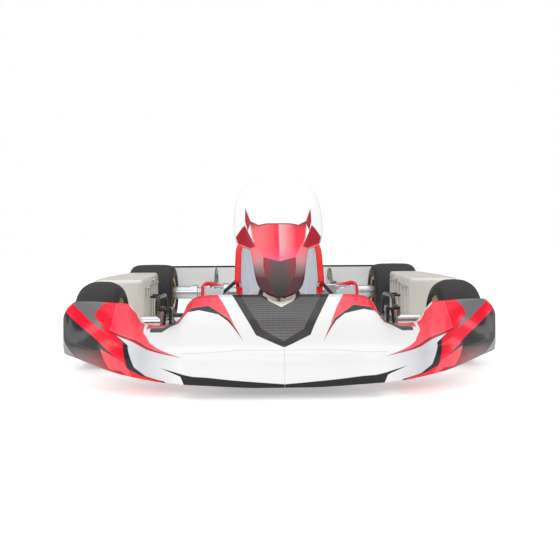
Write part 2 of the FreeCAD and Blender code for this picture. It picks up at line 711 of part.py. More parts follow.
# Front fairing: outlines by distance from the middle, each a row of (distance ahead of the front
# axle, height) from the lower lip, round the nose and up the deck to the rear edge

fairingRows = [
    (0, [(410, 40), (455, 36), (470, 74), (456, 116), (290, 160), (183, 207)]),
    (30, [(410, 40), (455, 36), (470, 74), (456, 116), (288, 160), (172, 213)]),
    (62, [(410, 40), (455, 36), (469, 75), (456, 116), (285, 161), (150, 226)]),
    (130, [(408, 41), (453, 38), (467, 76), (454, 116), (278, 163), (150, 226)]),
    (190, [(402, 43), (447, 40), (461, 78), (449, 116), (272, 164), (153, 226)]),
    (237, [(400, 46), (450, 43), (465, 79), (453, 116), (280, 162), (165, 223)]),
    (263, [(396, 47), (443, 44), (458, 80), (446, 117), (292, 155), (178, 207)]),
    (285, [(390, 48), (438, 45), (453, 81), (441, 117), (305, 146), (192, 165)]),
    (310, [(384, 49), (431, 46), (446, 82), (434, 117), (310, 141), (208, 148)]),
    (345, [(366, 51), (414, 48), (429, 83), (417, 117), (308, 141), (218, 147)]),
    (375, [(350, 52), (398, 49), (413, 84), (401, 118), (305, 145), (222, 152)]),
    (395, [(338, 53), (387, 50), (402, 85), (390, 119), (300, 156), (230, 180)]),
    (420, [(322, 54), (372, 51), (387, 86), (375, 121), (302, 168), (238, 210)]),
    (460, [(296, 57), (342, 54), (357, 89), (345, 125), (290, 172), (240, 214)]),
    (530, [(252, 63), (279, 60), (293, 92), (284, 125), (262, 172), (240, 218)]),
    (560, [(238, 67), (254, 64), (266, 93), (260, 126), (250, 174), (239, 218)]),
    (585, [(226, 70), (236, 67), (246, 92), (242, 124), (236, 166), (231, 203)]),
    (604, [(214, 74), (222, 72), (228, 90), (226, 115), (224, 145), (222, 172)]),
    (613, [(192, 80), (198, 78), (203, 88), (202, 98), (201, 106), (200, 112)])]


def makeFairing():
    sections = []
    for side, rows in ((-1, fairingRows[:0:-1]), (1, fairingRows)):
        for across, outer in rows:
            inner = offsetOpen(outer, -sheet)
            sections.append([V(side * across, frontAxleY - ahead, height)
                             for ahead, height in outer + inner[::-1]])
    return skin(sections)


# Number panel: (height, half width) from its lower tip to its top
panelRows = [(217, 8), (227, 34), (245, 58), (266, 68), (308, 77), (343, 84), (357, 88), (366, 112),
             (373, 126), (384, 135), (405, 141), (452, 144), (502, 141), (534, 133), (562, 117),
             (580, 92), (591, 66), (600, 22)]
panelTipY, panelTopY = -605.0, -230.0
panelSweep = 55.0                 # how far the panel's edges lie behind its middle, at full width


def panelMiddleY(height):
    share = (height - panelRows[0][0]) / (panelRows[-1][0] - panelRows[0][0])
    return panelTipY + (panelTopY - panelTipY) * share


def makePanel():
    shares = (-1, -0.75, -0.45, -0.15, 0.15, 0.45, 0.75, 1)
    fullWidth = max(half for height, half in panelRows)
    sections = []
    for height, half in panelRows:
        front = [V(half * s, panelMiddleY(height) + panelSweep * (half * s / fullWidth) ** 2, height)
                 for s in shares]
        sections.append(front + [point + V(0, sheet * 1.4, 0) for point in front[::-1]])
    return skin(sections)


def makePanelBracket(panel):
    """Two bars from the column support's clamp to the panel's back, joined by a cross bar."""
    clampPoint = columnFoot + columnDir * upperBushAlong
    bars = []
    for side in (1, -1):
        bars.append(solidTube([clampPoint + V(20 * side, -6, 10), V(46 * side, -300, 400),
                               V(52 * side, panelMiddleY(430) + 4, 430)], radius=6, bend=25))
    bars.append(rod(V(-46, -300, 400), V(46, -300, 400), 6))
    ring_ = rod(clampPoint - columnDir * 14, clampPoint + columnDir * 14, 23)
    pieces = fuseAll(bars).cut(panel).cut(ring_).Solids
    return max(pieces, key=lambda piece: piece.Volume)


# Side pods
podFrontY, podRearY = -190.0, 410.0
podLow, podHigh = 38.0, 248.0
podInnerFrontX, podInnerRearX = 481.0, 535.0


def podInnerX(y):
    return podInnerFrontX + (podInnerRearX - podInnerFrontX) * (y - podFrontY) / (podRearY - podFrontY)


def podCavity(depth):
    """The sealed air space inside a pod's blow-moulded walls."""
    front, rear, wall = podFrontY + sheet, podRearY - sheet, depth + sheet
    corners = [V(podInnerX(front) + wall, front, podLow + sheet), V(630, front, podLow + sheet),
               V(663, -138, podLow + sheet), V(678, 120, podLow + sheet), V(670, rear, podLow + sheet),
               V(podInnerX(rear) + wall, rear, podLow + sheet)]
    cavity = Part.Face(Part.makePolygon(corners + corners[:1])).extrude(Z * (podHigh - podLow - 2 * sheet))
    cavity = cavity.makeFillet(17, [edge for edge in cavity.Edges if edge.BoundBox.ZLength > 100])
    return cavity.makeFillet(11, [edge for edge in cavity.Edges if edge.BoundBox.ZMin > podHigh - sheet - 1])


def makePod():
    """Left side pod, a closed moulding with a ribbed recess in its inner wall."""
    corners = [V(podInnerX(podFrontY), podFrontY, podLow), V(636, podFrontY, podLow), V(670, -140, podLow),
               V(684, 120, podLow), V(676, podRearY, podLow), V(podInnerX(podRearY), podRearY, podLow)]
    body = Part.Face(Part.makePolygon(corners + corners[:1])).extrude(Z * (podHigh - podLow))
    upright = [edge for edge in body.Edges if edge.BoundBox.ZLength > 100]
    body = body.makeFillet(20, upright)
    body = body.makeFillet(14, [edge for edge in body.Edges if edge.BoundBox.ZMin > podHigh - 1])
    depth, rim = 16.0, 34.0
    recess = [V(podInnerX(y) + shift, y, podLow + 16) for y, shift in (
        (podFrontY + rim, -6), (podRearY - rim, -6), (podRearY - rim, depth), (podFrontY + rim, depth))]
    hollow = Part.Face(Part.makePolygon(recess + recess[:1])).extrude(Z * (podHigh - podLow - 16 - rim))
    body = body.cut(hollow.makeFillet(5, hollow.Edges)).cut(podCavity(depth))
    ribs = []
    for number in range(6):
        y = podFrontY + 78 + number * 88
        x = podInnerX(y)
        ribs.append(block(x + 3, x + depth + 4, y - 7, y + 7, podLow + 14, podHigh - rim + 2))
    return fuseAll([body] + ribs)


def makeSideBars(pod):
    """Left side bars: a low loop welded to the rail, a raised loop on it, and four pod tabs."""
    x, low, high = 478.0, railZ + 4, 160.0
    loop = solidTube([V(railX, 0, low), V(x, 0, low), V(x, 330, low), V(railX, 330, low)],
                     radius=10, bend=40)
    raised = solidTube([V(x, 60, low), V(x, 60, high), V(x, 270, high), V(x, 270, low)],
                       radius=8, bend=40)
    loop = largest(loop.cut(solidTube(railPoints, bend=150)))
    raised = largest(raised.cut(loop))
    tabs = [largest(block(x, x + 60, y - 9, y + 9, z - 4, z + 4).cut(loop).cut(raised).cut(pod))
            for y, z in ((110, low), (220, low), (120, high), (210, high))]
    return [loop, raised] + tabs


# Bumpers
barR = 10.0
frontBarX, frontBarLow, frontBarHigh = 150.0, railZ, 106.0


def makeFrontBars():
    hoopBar = solidTube(hoopPoints, bend=80)
    ends = (hoopFrontY, -848.0, -834.0)
    lower = tube([V(frontBarX, ends[0], frontBarLow), V(frontBarX, ends[1], frontBarLow),
                  V(-frontBarX, ends[1], frontBarLow), V(-frontBarX, ends[0], frontBarLow)],
                 radius=barR, bend=50)
    upper = tube([V(frontBarX - 30, ends[0], railZ), V(frontBarX - 30, ends[0], frontBarHigh),
                  V(frontBarX - 30, ends[2], frontBarHigh), V(30 - frontBarX, ends[2], frontBarHigh),
                  V(30 - frontBarX, ends[0], frontBarHigh), V(30 - frontBarX, ends[0], railZ)],
                 radius=barR, bend=24)
    return lower.cut(hoopBar), upper.cut(hoopBar)


bumperFrontY, bumperLow, bumperHigh = 862.0, 128.0, 262.0
bumperHalfX = 655.0


def makeRearBumper():
    """Moulded crash bar, deeper at its ends, with a groove along its face."""
    plan = [V(-bumperHalfX, bumperFrontY - 44, bumperLow), V(-bumperHalfX + 70, bumperFrontY - 44, bumperLow),
            V(-bumperHalfX + 130, bumperFrontY, bumperLow), V(bumperHalfX - 130, bumperFrontY, bumperLow),
            V(bumperHalfX - 70, bumperFrontY - 44, bumperLow), V(bumperHalfX, bumperFrontY - 44, bumperLow),
            V(bumperHalfX, tailY - 18, bumperLow), V(bumperHalfX - 90, tailY, bumperLow),
            V(-bumperHalfX + 90, tailY, bumperLow), V(-bumperHalfX, tailY - 18, bumperLow)]
    body = Part.Face(Part.makePolygon(plan + plan[:1])).extrude(Z * (bumperHigh - 8 - bumperLow))
    body = body.makeFillet(9, [edge for edge in body.Edges if edge.BoundBox.ZLength < 1
                               and edge.BoundBox.ZMin < bumperLow + 1])
    groove = block(-520, 520, tailY - 8, tailY + 5, 182, 204)
    strip = block(-bumperHalfX + 12, bumperHalfX - 12, bumperFrontY + 10, tailY - 26,
                  bumperHigh - 8, bumperHigh)
    air = block(-520, 520, bumperFrontY + sheet, tailY - 8 - sheet, bumperLow + sheet,
                bumperHigh - 8 - sheet)
    return body.cut(groove).cut(air), strip


def makeBumperMounts():
    """Steel stays plugged into the rails' open ends, left then right."""
    mount = solidTube([V(railX, railEndY - 60, railZ), V(railX, railEndY + 60, railZ),
                       V(railX, 800, 165), V(railX, bumperFrontY, 165)],
                      radius=tubeR - tubeWall - 0.3, bend=40)
    return [mount, mirrored(mount)]


# Engine plate, held on the two right-hand rails
plateLowZ = railZ + tubeR + 6
plateTopZ = plateLowZ + 12
plateCentre = V(sprocketX, 200, 0)
engineHoleX, engineHoleY, engineHoleR = 66.0, 102.0, 4.2


def makeEnginePlate():
    x, y = plateCentre.x, plateCentre.y
    plate = block(x - 66, x + 66, y - 80, y + 80, plateLowZ, plateTopZ)
    plate = plate.makeFillet(10, [edge for edge in plate.Edges if edge.BoundBox.ZLength > 5])
    for sideX in (-1, 1):
        for sideY in (-1, 1):
            plate = plate.cut(Part.makeCylinder(engineHoleR, 20, V(
                x + sideX * engineHoleX / 2, y + sideY * engineHoleY / 2, plateLowZ - 4)))
    clamps = []
    for railAt in (-railX, -engineRailX):
        clamp = block(railAt - 19, railAt + 19, y - 70, y + 70, railZ + 2, plateLowZ)
        clamps.append(clamp.cut(rod(V(railAt, -60, railZ), V(railAt, railEndY, railZ), tubeR)))
    return [plate] + clamps


def makeFasteners():
    """Four screws in each pod's inner wall and the fairing's two clips on the upper bar."""
    pieces = []
    for side in (1, -1):
        for y, z in ((-150, 74), (-40, 206), (150, 226), (330, 206)):
            start = V(side * (podInnerX(y) - 2), y, z)
            pieces.append(hexHead(start, X * -side, 13, 5))
        clip = block(side * 90 - 14, side * 90 + 14, -820, -796, frontBarHigh + barR + 0.2,
                     frontBarHigh + barR + 9)
        pieces.append(clip)
    return pieces


def saveSteering():
    save("steering_column", makeColumn())
    save("steering_boss", makeBoss())
    save("steering_wheel", makeSteeringWheel())
    save("column_support", group(makeColumnSupport()))
    save("column_bushes", group(makeBushes()))
    yoke, bolt, stub, tieRod = makeYoke(), makeKingpinBolt(), makeStubAxle(), makeTieRod()
    save("kingpin_yokes", group([yoke, mirrored(yoke)]))
    save("kingpin_bolts", group(bolt + [mirrored(piece) for piece in bolt]))
    nut, hub = makeStubNut(), makeFrontHub()
    rim, tyre = makeFrontWheel()
    for name, flip in (("left", lambda shape: shape), ("right", mirrored)):
        save("stub_axle_" + name, group([flip(stub), flip(nut)]))
        save("tie_rod_" + name, flip(tieRod))
        save("front_hub_" + name, flip(hub))
        save("front_rim_" + name, flip(rim))
        save("front_tyre_" + name, flip(tyre))


def saveRearAxle():
    save("rear_axle", makeRearAxle())
    hub, (rim, tyre) = makeRearHub(), makeRearWheel()
    save("rear_hubs", group([hub, mirrored(hub)]))
    save("rear_rims", group([rim, mirrored(rim)]))
    save("rear_tyres", group([tyre, mirrored(tyre)]))
    carriers, bearings = makeBearingCarriers()
    save("bearing_carriers", group(carriers))
    save("axle_bearings", group(bearings))
    save("sprocket", makeSprocket())
    save("brake_disc", makeBrakeDisc())
    save("axle_carriers", group(makeAxleCarriers()))


def saveControls():
    save("brake_caliper", makeCaliper())
    save("brake_pad_outer", makePad(1))
    save("brake_pad_inner", makePad(-1))
    save("master_cylinder", makeMasterCylinder())
    save("brake_pushrod", makePushrod())
    pedal = makePedal()
    save("throttle_pedal", mirrored(pedal))
    save("brake_pedal", makeBrakePedal(pedal))
    bracket, spring = makePedalBracket(), makeSpring()
    save("pedal_brackets", group([bracket, mirrored(bracket)]))
    save("return_springs", group([spring, mirrored(spring)]))


def saveBody():
    save("floor_tray", makeTray())
    save("fuel_tank", makeTank())
    save("fuel_cap", makeCap())
    shell, trims = makeSeat()
    save("seat_shell", shell)
    save("seat_trim", group(trims))
    save("seat_stays", group([largest(stay.cut(shell)) for stay in makeSeatStays()]))
    save("front_fairing", makeFairing())
    panel, pod = makePanel(), makePod()
    save("number_panel", panel)
    save("panel_bracket", makePanelBracket(panel))
    save("side_pod_left", pod)
    save("side_pod_right", mirrored(pod))
    bars = makeSideBars(pod)
    save("side_bars", group(bars + [mirrored(bar) for bar in bars]))
    lower, upper = makeFrontBars()
    save("front_lower_bar", lower)
    save("front_upper_bar", upper)
    save("rear_bumper", group(makeRearBumper()))
    save("bumper_mounts", group(makeBumperMounts()))
    save("engine_plate", group(makeEnginePlate()))
    save("fasteners", group(makeFasteners()))


os.makedirs("parts", exist_ok=True)
makeFrame()
saveSteering()
saveRearAxle()
saveControls()
saveBody()
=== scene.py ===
import json
import math
import bpy
import numpy as np
from mathutils import Matrix, Vector


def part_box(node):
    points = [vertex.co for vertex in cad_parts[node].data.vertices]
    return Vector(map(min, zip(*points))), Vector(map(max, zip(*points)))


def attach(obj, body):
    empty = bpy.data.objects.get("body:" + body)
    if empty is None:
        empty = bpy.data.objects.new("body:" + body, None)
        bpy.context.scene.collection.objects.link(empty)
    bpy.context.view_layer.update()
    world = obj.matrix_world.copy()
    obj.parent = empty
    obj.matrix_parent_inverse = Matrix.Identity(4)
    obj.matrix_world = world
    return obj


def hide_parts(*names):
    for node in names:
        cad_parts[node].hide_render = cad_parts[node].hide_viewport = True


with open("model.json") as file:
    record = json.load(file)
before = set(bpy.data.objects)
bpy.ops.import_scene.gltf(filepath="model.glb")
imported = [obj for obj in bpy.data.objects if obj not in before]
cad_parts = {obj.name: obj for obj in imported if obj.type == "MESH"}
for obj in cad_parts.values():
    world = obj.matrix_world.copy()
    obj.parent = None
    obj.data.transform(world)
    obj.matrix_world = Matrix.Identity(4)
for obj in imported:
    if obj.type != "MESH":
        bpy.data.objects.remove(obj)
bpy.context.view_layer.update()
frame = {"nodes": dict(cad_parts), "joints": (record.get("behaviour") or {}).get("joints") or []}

scene = bpy.context.scene
nodes = frame["nodes"]
joints = {joint["name"]: joint for joint in frame["joints"]}
print("frame loaded:", len(nodes), "parts")

frontAxle = Vector(joints["front_wheel_left_spin"]["pos_m"])   # centre of the left front wheel
rearAxle = Vector(joints["rear_axle_spin"]["pos_m"])


# camera, floor, light

studio = dict(lens=37.35, place=(-0.048, -2.276, 0.366), tiltDown=3.33, panRight=1.57, roll=-0.3,
              floorSize=40.0, floorColour=(0.93, 0.925, 0.915), floorGlow=(0.34, 0.66),
              glowReach=2.2, skySeen=1.0, skyLight=0.42)

camera = bpy.data.objects.new("camera", bpy.data.cameras.new("camera"))
scene.collection.objects.link(camera)
camera.data.lens = studio["lens"]
camera.data.sensor_width = 36
camera.data.clip_end = 100
camera.location = studio["place"]
aim = (Matrix.Rotation(math.radians(-studio["panRight"]), 4, "Z")
       @ Matrix.Rotation(math.radians(90 - studio["tiltDown"]), 4, "X")
       @ Matrix.Rotation(math.radians(studio["roll"]), 4, "Z"))
camera.rotation_euler = aim.to_euler()
scene.camera = camera
scene.view_settings.view_transform = "Standard"


def areaLight(name, place, target, size, power, colour=(1, 1, 1)):
    lamp = bpy.data.lights.new(name, "AREA")
    lamp.shape, lamp.size, lamp.size_y = "RECTANGLE", size[0], size[1]
    lamp.energy, lamp.color = power, colour
    holder = bpy.data.objects.new(name, lamp)
    scene.collection.objects.link(holder)
    holder.location = place
    holder.rotation_euler = (Vector(target) - Vector(place)).to_track_quat("-Z", "Y").to_euler()


areaLight("overhead_box", (0, -0.2, 3.2), (0, 0, 0), (4.0, 4.5), 75)
areaLight("front_box", (-0.8, -4.2, 2.3), (0, 0, 0.2), (3.0, 1.6), 45)
areaLight("left_strip", (-3.6, -0.6, 1.5), (0, 0, 0.15), (0.7, 3.2), 24)
areaLight("right_strip", (3.6, -0.6, 1.5), (0, 0, 0.15), (0.7, 3.2), 24)


# shader maths: Val wraps one socket, Paint is one material

def rawSocket(value):
    return value.socket if isinstance(value, Val) else value


class Val:
    def __init__(self, paint, socket):
        self.paint, self.socket = paint, socket

    def __add__(self, other):
        return self.paint.math("ADD", self, other)

    __radd__ = __add__

    def __sub__(self, other):
        return self.paint.math("SUBTRACT", self, other)

    def __rsub__(self, other):
        return self.paint.math("SUBTRACT", other, self)

    def __mul__(self, other):
        return self.paint.math("MULTIPLY", self, other)

    __rmul__ = __mul__

    def __truediv__(self, other):
        return self.paint.math("DIVIDE", self, other)

    def __pow__(self, other):
        return self.paint.math("POWER", self, other)


mm, lineTop = 0.001, 640


class Paint:
    def __init__(self, name, **shader):
        self.material = bpy.data.materials.new(name)
        self.material.use_nodes = True
        self.tree = self.material.node_tree
        self.shader = self.tree.nodes["Principled BSDF"]
        for socket, value in shader.items():
            self.shader.inputs[socket.replace("_", " ")].default_value = value
        self.place = self.node("ShaderNodeTexCoord", out="Object")

    def node(self, kind, settings=None, inputs=None, out=0):
        made = self.tree.nodes.new(kind)
        for key, value in (settings or {}).items():
            if key == "curve":
                line = made.mapping.curves[0]
                while len(line.points) < len(value):
                    line.points.new(0.5, 0.5)
                for knot, place in zip(line.points, value):
                    knot.location, knot.handle_type = place, "VECTOR"
                made.mapping.update()
            else:
                setattr(made, key, value)
        for key, value in (inputs or {}).items():
            value = rawSocket(value)
            if isinstance(value, bpy.types.NodeSocket):
                self.tree.links.new(value, made.inputs[key])
            else:
                made.inputs[key].default_value = value
        return Val(self, made.outputs[out])

    def math(self, operation, first, second=0.0):
        return self.node("ShaderNodeMath", {"operation": operation}, {0: first, 1: second})

    def least(self, first, second):
        return self.math("MINIMUM", first, second)

    def most(self, first, second):
        return self.math("MAXIMUM", first, second)

    def clamp(self, value):
        return self.node("ShaderNodeClamp", None, {"Value": value})

    def axes(self):
        first = self.node("ShaderNodeSeparateXYZ", None, {"Vector": self.place})
        return [Val(self, first.socket.node.outputs[index]) for index in range(3)]

    def noise(self, scale, detail=3.0, rough=0.5, vector=None):
        return self.node("ShaderNodeTexNoise", None, {
            "Vector": vector or self.place, "Scale": scale, "Detail": detail, "Roughness": rough})

    def stretched(self, x, y, z):
        return self.node("ShaderNodeVectorMath", {"operation": "MULTIPLY"},
                         {0: self.place, 1: (x, y, z)})

    def blend(self, amount, first, second):
        made = self.tree.nodes.new("ShaderNodeMix")
        made.data_type = "RGBA"
        for index, value in ((0, amount), (6, first), (7, second)):
            value = rawSocket(value)
            if isinstance(value, bpy.types.NodeSocket):
                self.tree.links.new(value, made.inputs[index])
            else:
                made.inputs[index].default_value = (*value, 1) if index else value
        return Val(self, made.outputs[2])

    def step(self, value, edge, soft):
        return self.clamp((value - edge) / soft + 0.5)

    def band(self, value, low, high, soft):
        return self.step(value, low, soft) * (1 - self.step(value, high, soft))

    def side(self, across, up, start, end, soft):
        # 1 on the left of the line from start to end, 0 on its right
        (x0, y0), (x1, y1) = start, end
        length = math.hypot(x1 - x0, y1 - y0)
        nx, ny = (y0 - y1) / length, (x1 - x0) / length
        return self.clamp((across * nx + up * ny - (x0 * nx + y0 * ny)) / soft + 0.5)

    def patch(self, across, up, corners, soft=0.0012):
        # a convex patch, its corners listed anticlockwise
        mask = None
        for start, end in zip(corners, corners[1:] + corners[:1]):
            inside = self.side(across, up, start, end, soft)
            mask = inside if mask is None else self.least(mask, inside)
        return mask

    def line(self, across, points):
        # height of a drawn line, points in mm, over the distance across it in metres
        first, span = points[0][0] * mm, (points[-1][0] - points[0][0]) * mm
        spots = [((x * mm - first) / span, z / lineTop) for x, z in points]
        share = self.clamp((across - first) / span)
        return self.node("ShaderNodeFloatCurve", {"curve": spots}, {"Value": share}) * (lineTop * mm)

    def under(self, across, up, points, soft=0.0011):
        # 1 under a drawn line, within the line's own reach
        return self.step(self.line(across, points), up, soft)

    def reach(self, across, points, soft=0.0011):
        return self.band(across, points[0][0] * mm, points[-1][0] * mm, soft)

    def area(self, across, up, low, high, soft=0.0011):
        # 1 between two drawn lines that share their ends
        return (self.under(across, up, high, soft) * (1 - self.under(across, up, low, soft))
                * self.reach(across, low, soft))

    def bump(self, height, strength, distance):
        return self.node("ShaderNodeBump", None, {
            "Height": height, "Strength": strength, "Distance": distance})

    def feed(self, **sockets):
        for name, value in sockets.items():
            self.tree.links.new(rawSocket(value), self.shader.inputs[name.replace("_", " ")])
        return self.material


def scuffed(name, colour, shade, roughness, spread, grain=90.0, bumpDepth=0.0004, **shader):
    # a finish whose colour and roughness drift, with a fine grain in relief
    paint = Paint(name, **shader)
    broad, fine = paint.noise(7.0, 4.0), paint.noise(grain, 3.0)
    paint.feed(Base_Color=paint.blend(broad, colour, shade),
               Roughness=paint.clamp(roughness + (broad - 0.5) * spread + (fine - 0.5) * spread),
               Normal=paint.bump(fine, 0.25, bumpDepth))
    return paint.material


def turnedMetal(name, colour, roughness, axis="x", **shader):
    # lathe marks that run round the given axis
    paint = Paint(name, Metallic=1.0, **shader)
    stretch = {"x": (900, 12, 12), "y": (12, 900, 12), "z": (12, 12, 900)}[axis]
    marks = paint.noise(1.0, 2.0, vector=paint.stretched(*stretch))
    broad = paint.noise(9.0, 3.0)
    dark = tuple(channel * 0.78 for channel in colour)
    paint.feed(Base_Color=paint.blend(broad * 0.6 + marks * 0.3, colour, dark),
               Roughness=paint.clamp(roughness + (marks - 0.5) * 0.16 + (broad - 0.5) * 0.1),
               Normal=paint.bump(marks, 0.12, 0.0003))
    return paint.material


def floorPaint():
    paint = Paint("studio_floor", Roughness=0.75, Emission_Strength=1.0)
    x, y = paint.axes()[:2]
    # the floor glows: painted light, dimmer near the kart so its shadows stay, brighter further out
    far = paint.step(paint.math("SQRT", x * x + y * y), studio["glowReach"], studio["glowReach"])
    near, wide = studio["floorGlow"]
    drift = paint.noise(0.8, 2.0)
    paint.feed(Base_Color=paint.blend(drift, studio["floorColour"],
                                      tuple(c * 0.985 for c in studio["floorColour"])),
               Emission_Color=paint.blend(far, (near, near, near), (wide, wide, wide)))
    return paint.material


floorMesh = bpy.data.meshes.new("floor")
half = studio["floorSize"] / 2
floorMesh.from_pydata([(-half, -half, -0.0005), (half, -half, -0.0005), (half, half, -0.0005),
                       (-half, half, -0.0005)], [], [(0, 1, 2, 3)])
floor = bpy.data.objects.new("floor", floorMesh)
scene.collection.objects.link(floor)
floorMesh.materials.append(floorPaint())

world = bpy.data.worlds.new("pale_room")
world.use_nodes = True
world.node_tree.nodes["Background"].inputs["Color"].default_value = (1, 1, 1, 1)
worldNodes, worldLinks = world.node_tree.nodes, world.node_tree.links
rays = worldNodes.new("ShaderNodeLightPath")      # the room looks white but lights the kart gently
brightness = worldNodes.new("ShaderNodeMapRange")
brightness.inputs["To Min"].default_value = studio["skyLight"]
brightness.inputs["To Max"].default_value = studio["skySeen"]
worldLinks.new(rays.outputs["Is Camera Ray"], brightness.inputs["Value"])
worldLinks.new(brightness.outputs["Result"], worldNodes["Background"].inputs["Strength"])
scene.world = world
print("studio ready")


# finishes

framePaint = scuffed("frame_black", (0.016, 0.016, 0.018), (0.03, 0.03, 0.033), 0.32, 0.14,
                     Metallic=0.35, Coat_Weight=0.4, Coat_Roughness=0.15)
brightSteel = turnedMetal("bright_steel", (0.62, 0.63, 0.65), 0.26)
axleSteel = turnedMetal("axle_steel", (0.5, 0.51, 0.53), 0.3)
columnSteel = turnedMetal("column_steel", (0.55, 0.56, 0.58), 0.28, "z")
darkSteel = turnedMetal("dark_steel", (0.09, 0.09, 0.1), 0.3)
castAlloy = scuffed("cast_alloy", (0.66, 0.67, 0.69), (0.5, 0.51, 0.53), 0.34, 0.16, Metallic=1.0)
goldAlloy = scuffed("gold_magnesium", (0.60, 0.36, 0.10), (0.46, 0.26, 0.07), 0.3, 0.15, 120,
                    Metallic=0.85, Coat_Weight=0.3)
creamPlastic = scuffed("cream_moulding", (0.80, 0.77, 0.70), (0.72, 0.69, 0.62), 0.3, 0.1, 160, 0.0003,
                       Coat_Weight=0.25, Coat_Roughness=0.2)
whitePlastic = scuffed("white_moulding", (0.86, 0.86, 0.85), (0.8, 0.8, 0.79), 0.32, 0.1, 160, 0.0003)
blackPlastic = scuffed("black_moulding", (0.018, 0.018, 0.019), (0.032, 0.032, 0.034), 0.5, 0.15, 300)
nylon = scuffed("natural_nylon", (0.72, 0.71, 0.66), (0.62, 0.61, 0.56), 0.45, 0.12)
redGloss = scuffed("red_gloss", (0.84, 0.010, 0.012), (0.70, 0.007, 0.009), 0.3, 0.1, 140, 0.0002,
                   Coat_Weight=0.1, Coat_Roughness=0.1, Specular_IOR_Level=0.2)
tankPlastic = scuffed("tank_moulding", (0.78, 0.77, 0.7), (0.7, 0.69, 0.62), 0.42, 0.12, 120,
                      Subsurface_Weight=0.15, Subsurface_Radius=(0.01, 0.01, 0.008))
padStone = scuffed("pad_compound", (0.05, 0.045, 0.04), (0.1, 0.09, 0.08), 0.8, 0.1, 500)


def suedePaint():
    paint = Paint("suede_grip", Roughness=0.92, Sheen_Weight=0.35, Sheen_Roughness=0.5)
    nap, cloud = paint.noise(1400.0, 2.0), paint.noise(30.0, 4.0)
    paint.feed(Base_Color=paint.blend(cloud, (0.018, 0.018, 0.02), (0.04, 0.04, 0.043)),
               Normal=paint.bump(nap, 0.5, 0.0006))
    return paint.material


def trayPaint():
    # brushed alloy sheet: fine lines along the kart, with cloudy wear
    paint = Paint("brushed_sheet", Metallic=1.0)
    lines = paint.noise(1.0, 3.0, vector=paint.stretched(1500, 14, 14))
    wear = paint.noise(5.0, 4.0)
    paint.feed(Base_Color=paint.blend(wear, (0.56, 0.57, 0.58), (0.46, 0.47, 0.48)),
               Roughness=paint.clamp(0.36 + (lines - 0.5) * 0.2 + (wear - 0.5) * 0.15),
               Normal=paint.bump(lines, 0.15, 0.0003))
    return paint.material


def discPaint():
    # ground friction faces with rings, and a blued inner edge
    paint = Paint("ground_disc", Metallic=1.0)
    y, z = paint.axes()[1:]
    radius = paint.math("SQRT", (y - rearAxle.y) ** 2.0 + (z - rearAxle.z) ** 2.0)
    rings = paint.noise(1.0, 2.0, vector=paint.node("ShaderNodeCombineXYZ", None, {"X": radius * 2200}))
    heat = paint.band(radius, 0.064, 0.078, 0.01)
    base = paint.blend(rings, (0.14, 0.14, 0.15), (0.08, 0.08, 0.09))
    paint.feed(Base_Color=paint.blend(heat * 0.6, base, (0.09, 0.1, 0.16)),
               Roughness=paint.clamp(0.3 + (rings - 0.5) * 0.25), Normal=paint.bump(rings, 0.2, 0.0003))
    return paint.material


def tyrePaint(name, centre, radius, tread):
    # slick rubber: a duller, finely crazed tread and smoother walls
    paint = Paint(name, Specular_IOR_Level=0.35)
    y, z = paint.axes()[1:]
    reach = paint.math("SQRT", (y - centre.y) ** 2.0 + (z - centre.z) ** 2.0)
    onTread = paint.step(reach, radius - tread, 0.006)
    crazing, cloud = paint.noise(520.0, 3.0), paint.noise(16.0, 4.0)
    scrub = paint.noise(1.0, 3.0, vector=paint.stretched(260, 24, 24))
    wall = paint.blend(cloud, (0.019, 0.019, 0.02), (0.03, 0.03, 0.031))
    face = paint.blend(scrub, (0.026, 0.026, 0.027), (0.048, 0.047, 0.047))
    paint.feed(Base_Color=paint.blend(onTread, wall, face),
               Roughness=paint.clamp(0.55 + onTread * 0.22 + (cloud - 0.5) * 0.15),
               Normal=paint.bump(crazing * 0.5 + scrub * onTread, 0.3, 0.0006))
    return paint.material


def bumperPaint():
    # white blow-moulded beam under a black rubbing strip
    paint = Paint("beam_moulding", Specular_IOR_Level=0.4)
    z = paint.axes()[2]
    cloud, grain = paint.noise(5.0, 3.0), paint.noise(220.0, 3.0)
    beam = paint.blend(cloud, (0.86, 0.86, 0.85), (0.80, 0.80, 0.79))
    strip = paint.blend(grain, (0.014, 0.014, 0.015), (0.028, 0.028, 0.03))
    paint.feed(Base_Color=paint.blend(paint.step(z, bumperBox[1].z - 0.0085, 0.0004), beam, strip),
               Roughness=paint.clamp(0.34 + (grain - 0.5) * 0.12), Normal=paint.bump(grain, 0.12, 0.0003))
    return paint.material


def pedalPaint():
    # bent tube dipped in red, and a bare foot plate with a fine non-slip grain
    paint = Paint("pedal_finish", Coat_Weight=0.1, Coat_Roughness=0.12, Specular_IOR_Level=0.25)
    x, _, z = paint.axes()
    across = paint.math("ABSOLUTE", x)
    underTop = 1 - paint.step(z, pedalLook["plateTop"], 0.0006)
    plate = underTop * (1 - paint.step(across, pedalLook["plateSide"], 0.0006))
    cloud, grain = paint.noise(14.0, 3.0), paint.noise(600.0, 2.0)
    red = paint.blend(cloud, (0.80, 0.012, 0.03), (0.66, 0.008, 0.022))
    bare = paint.blend(cloud, (0.66, 0.67, 0.69), (0.56, 0.57, 0.60))
    paint.feed(Base_Color=paint.blend(plate, red, bare), Roughness=0.28 + plate * 0.12,
               Normal=paint.bump(grain * plate, 0.3, 0.0005))
    return paint.material


pedalLook = dict(plateTop=0.247, plateSide=0.2295)
bumperBox = [Vector(corner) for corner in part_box("rear_bumper")]


def wearFinish(node, finish, bevel=0.0012):
    # a CAD part keeps its shape and takes a finish and rounded edges
    part = nodes[node]
    part.data.materials.clear()
    part.data.materials.append(finish)
    if bevel:
        edge = part.modifiers.new("soft_edges", "BEVEL")
        edge.width, edge.segments, edge.limit_method = bevel, 2, "ANGLE"
        edge.angle_limit = math.radians(40)
        edge.harden_normals = True
    return part


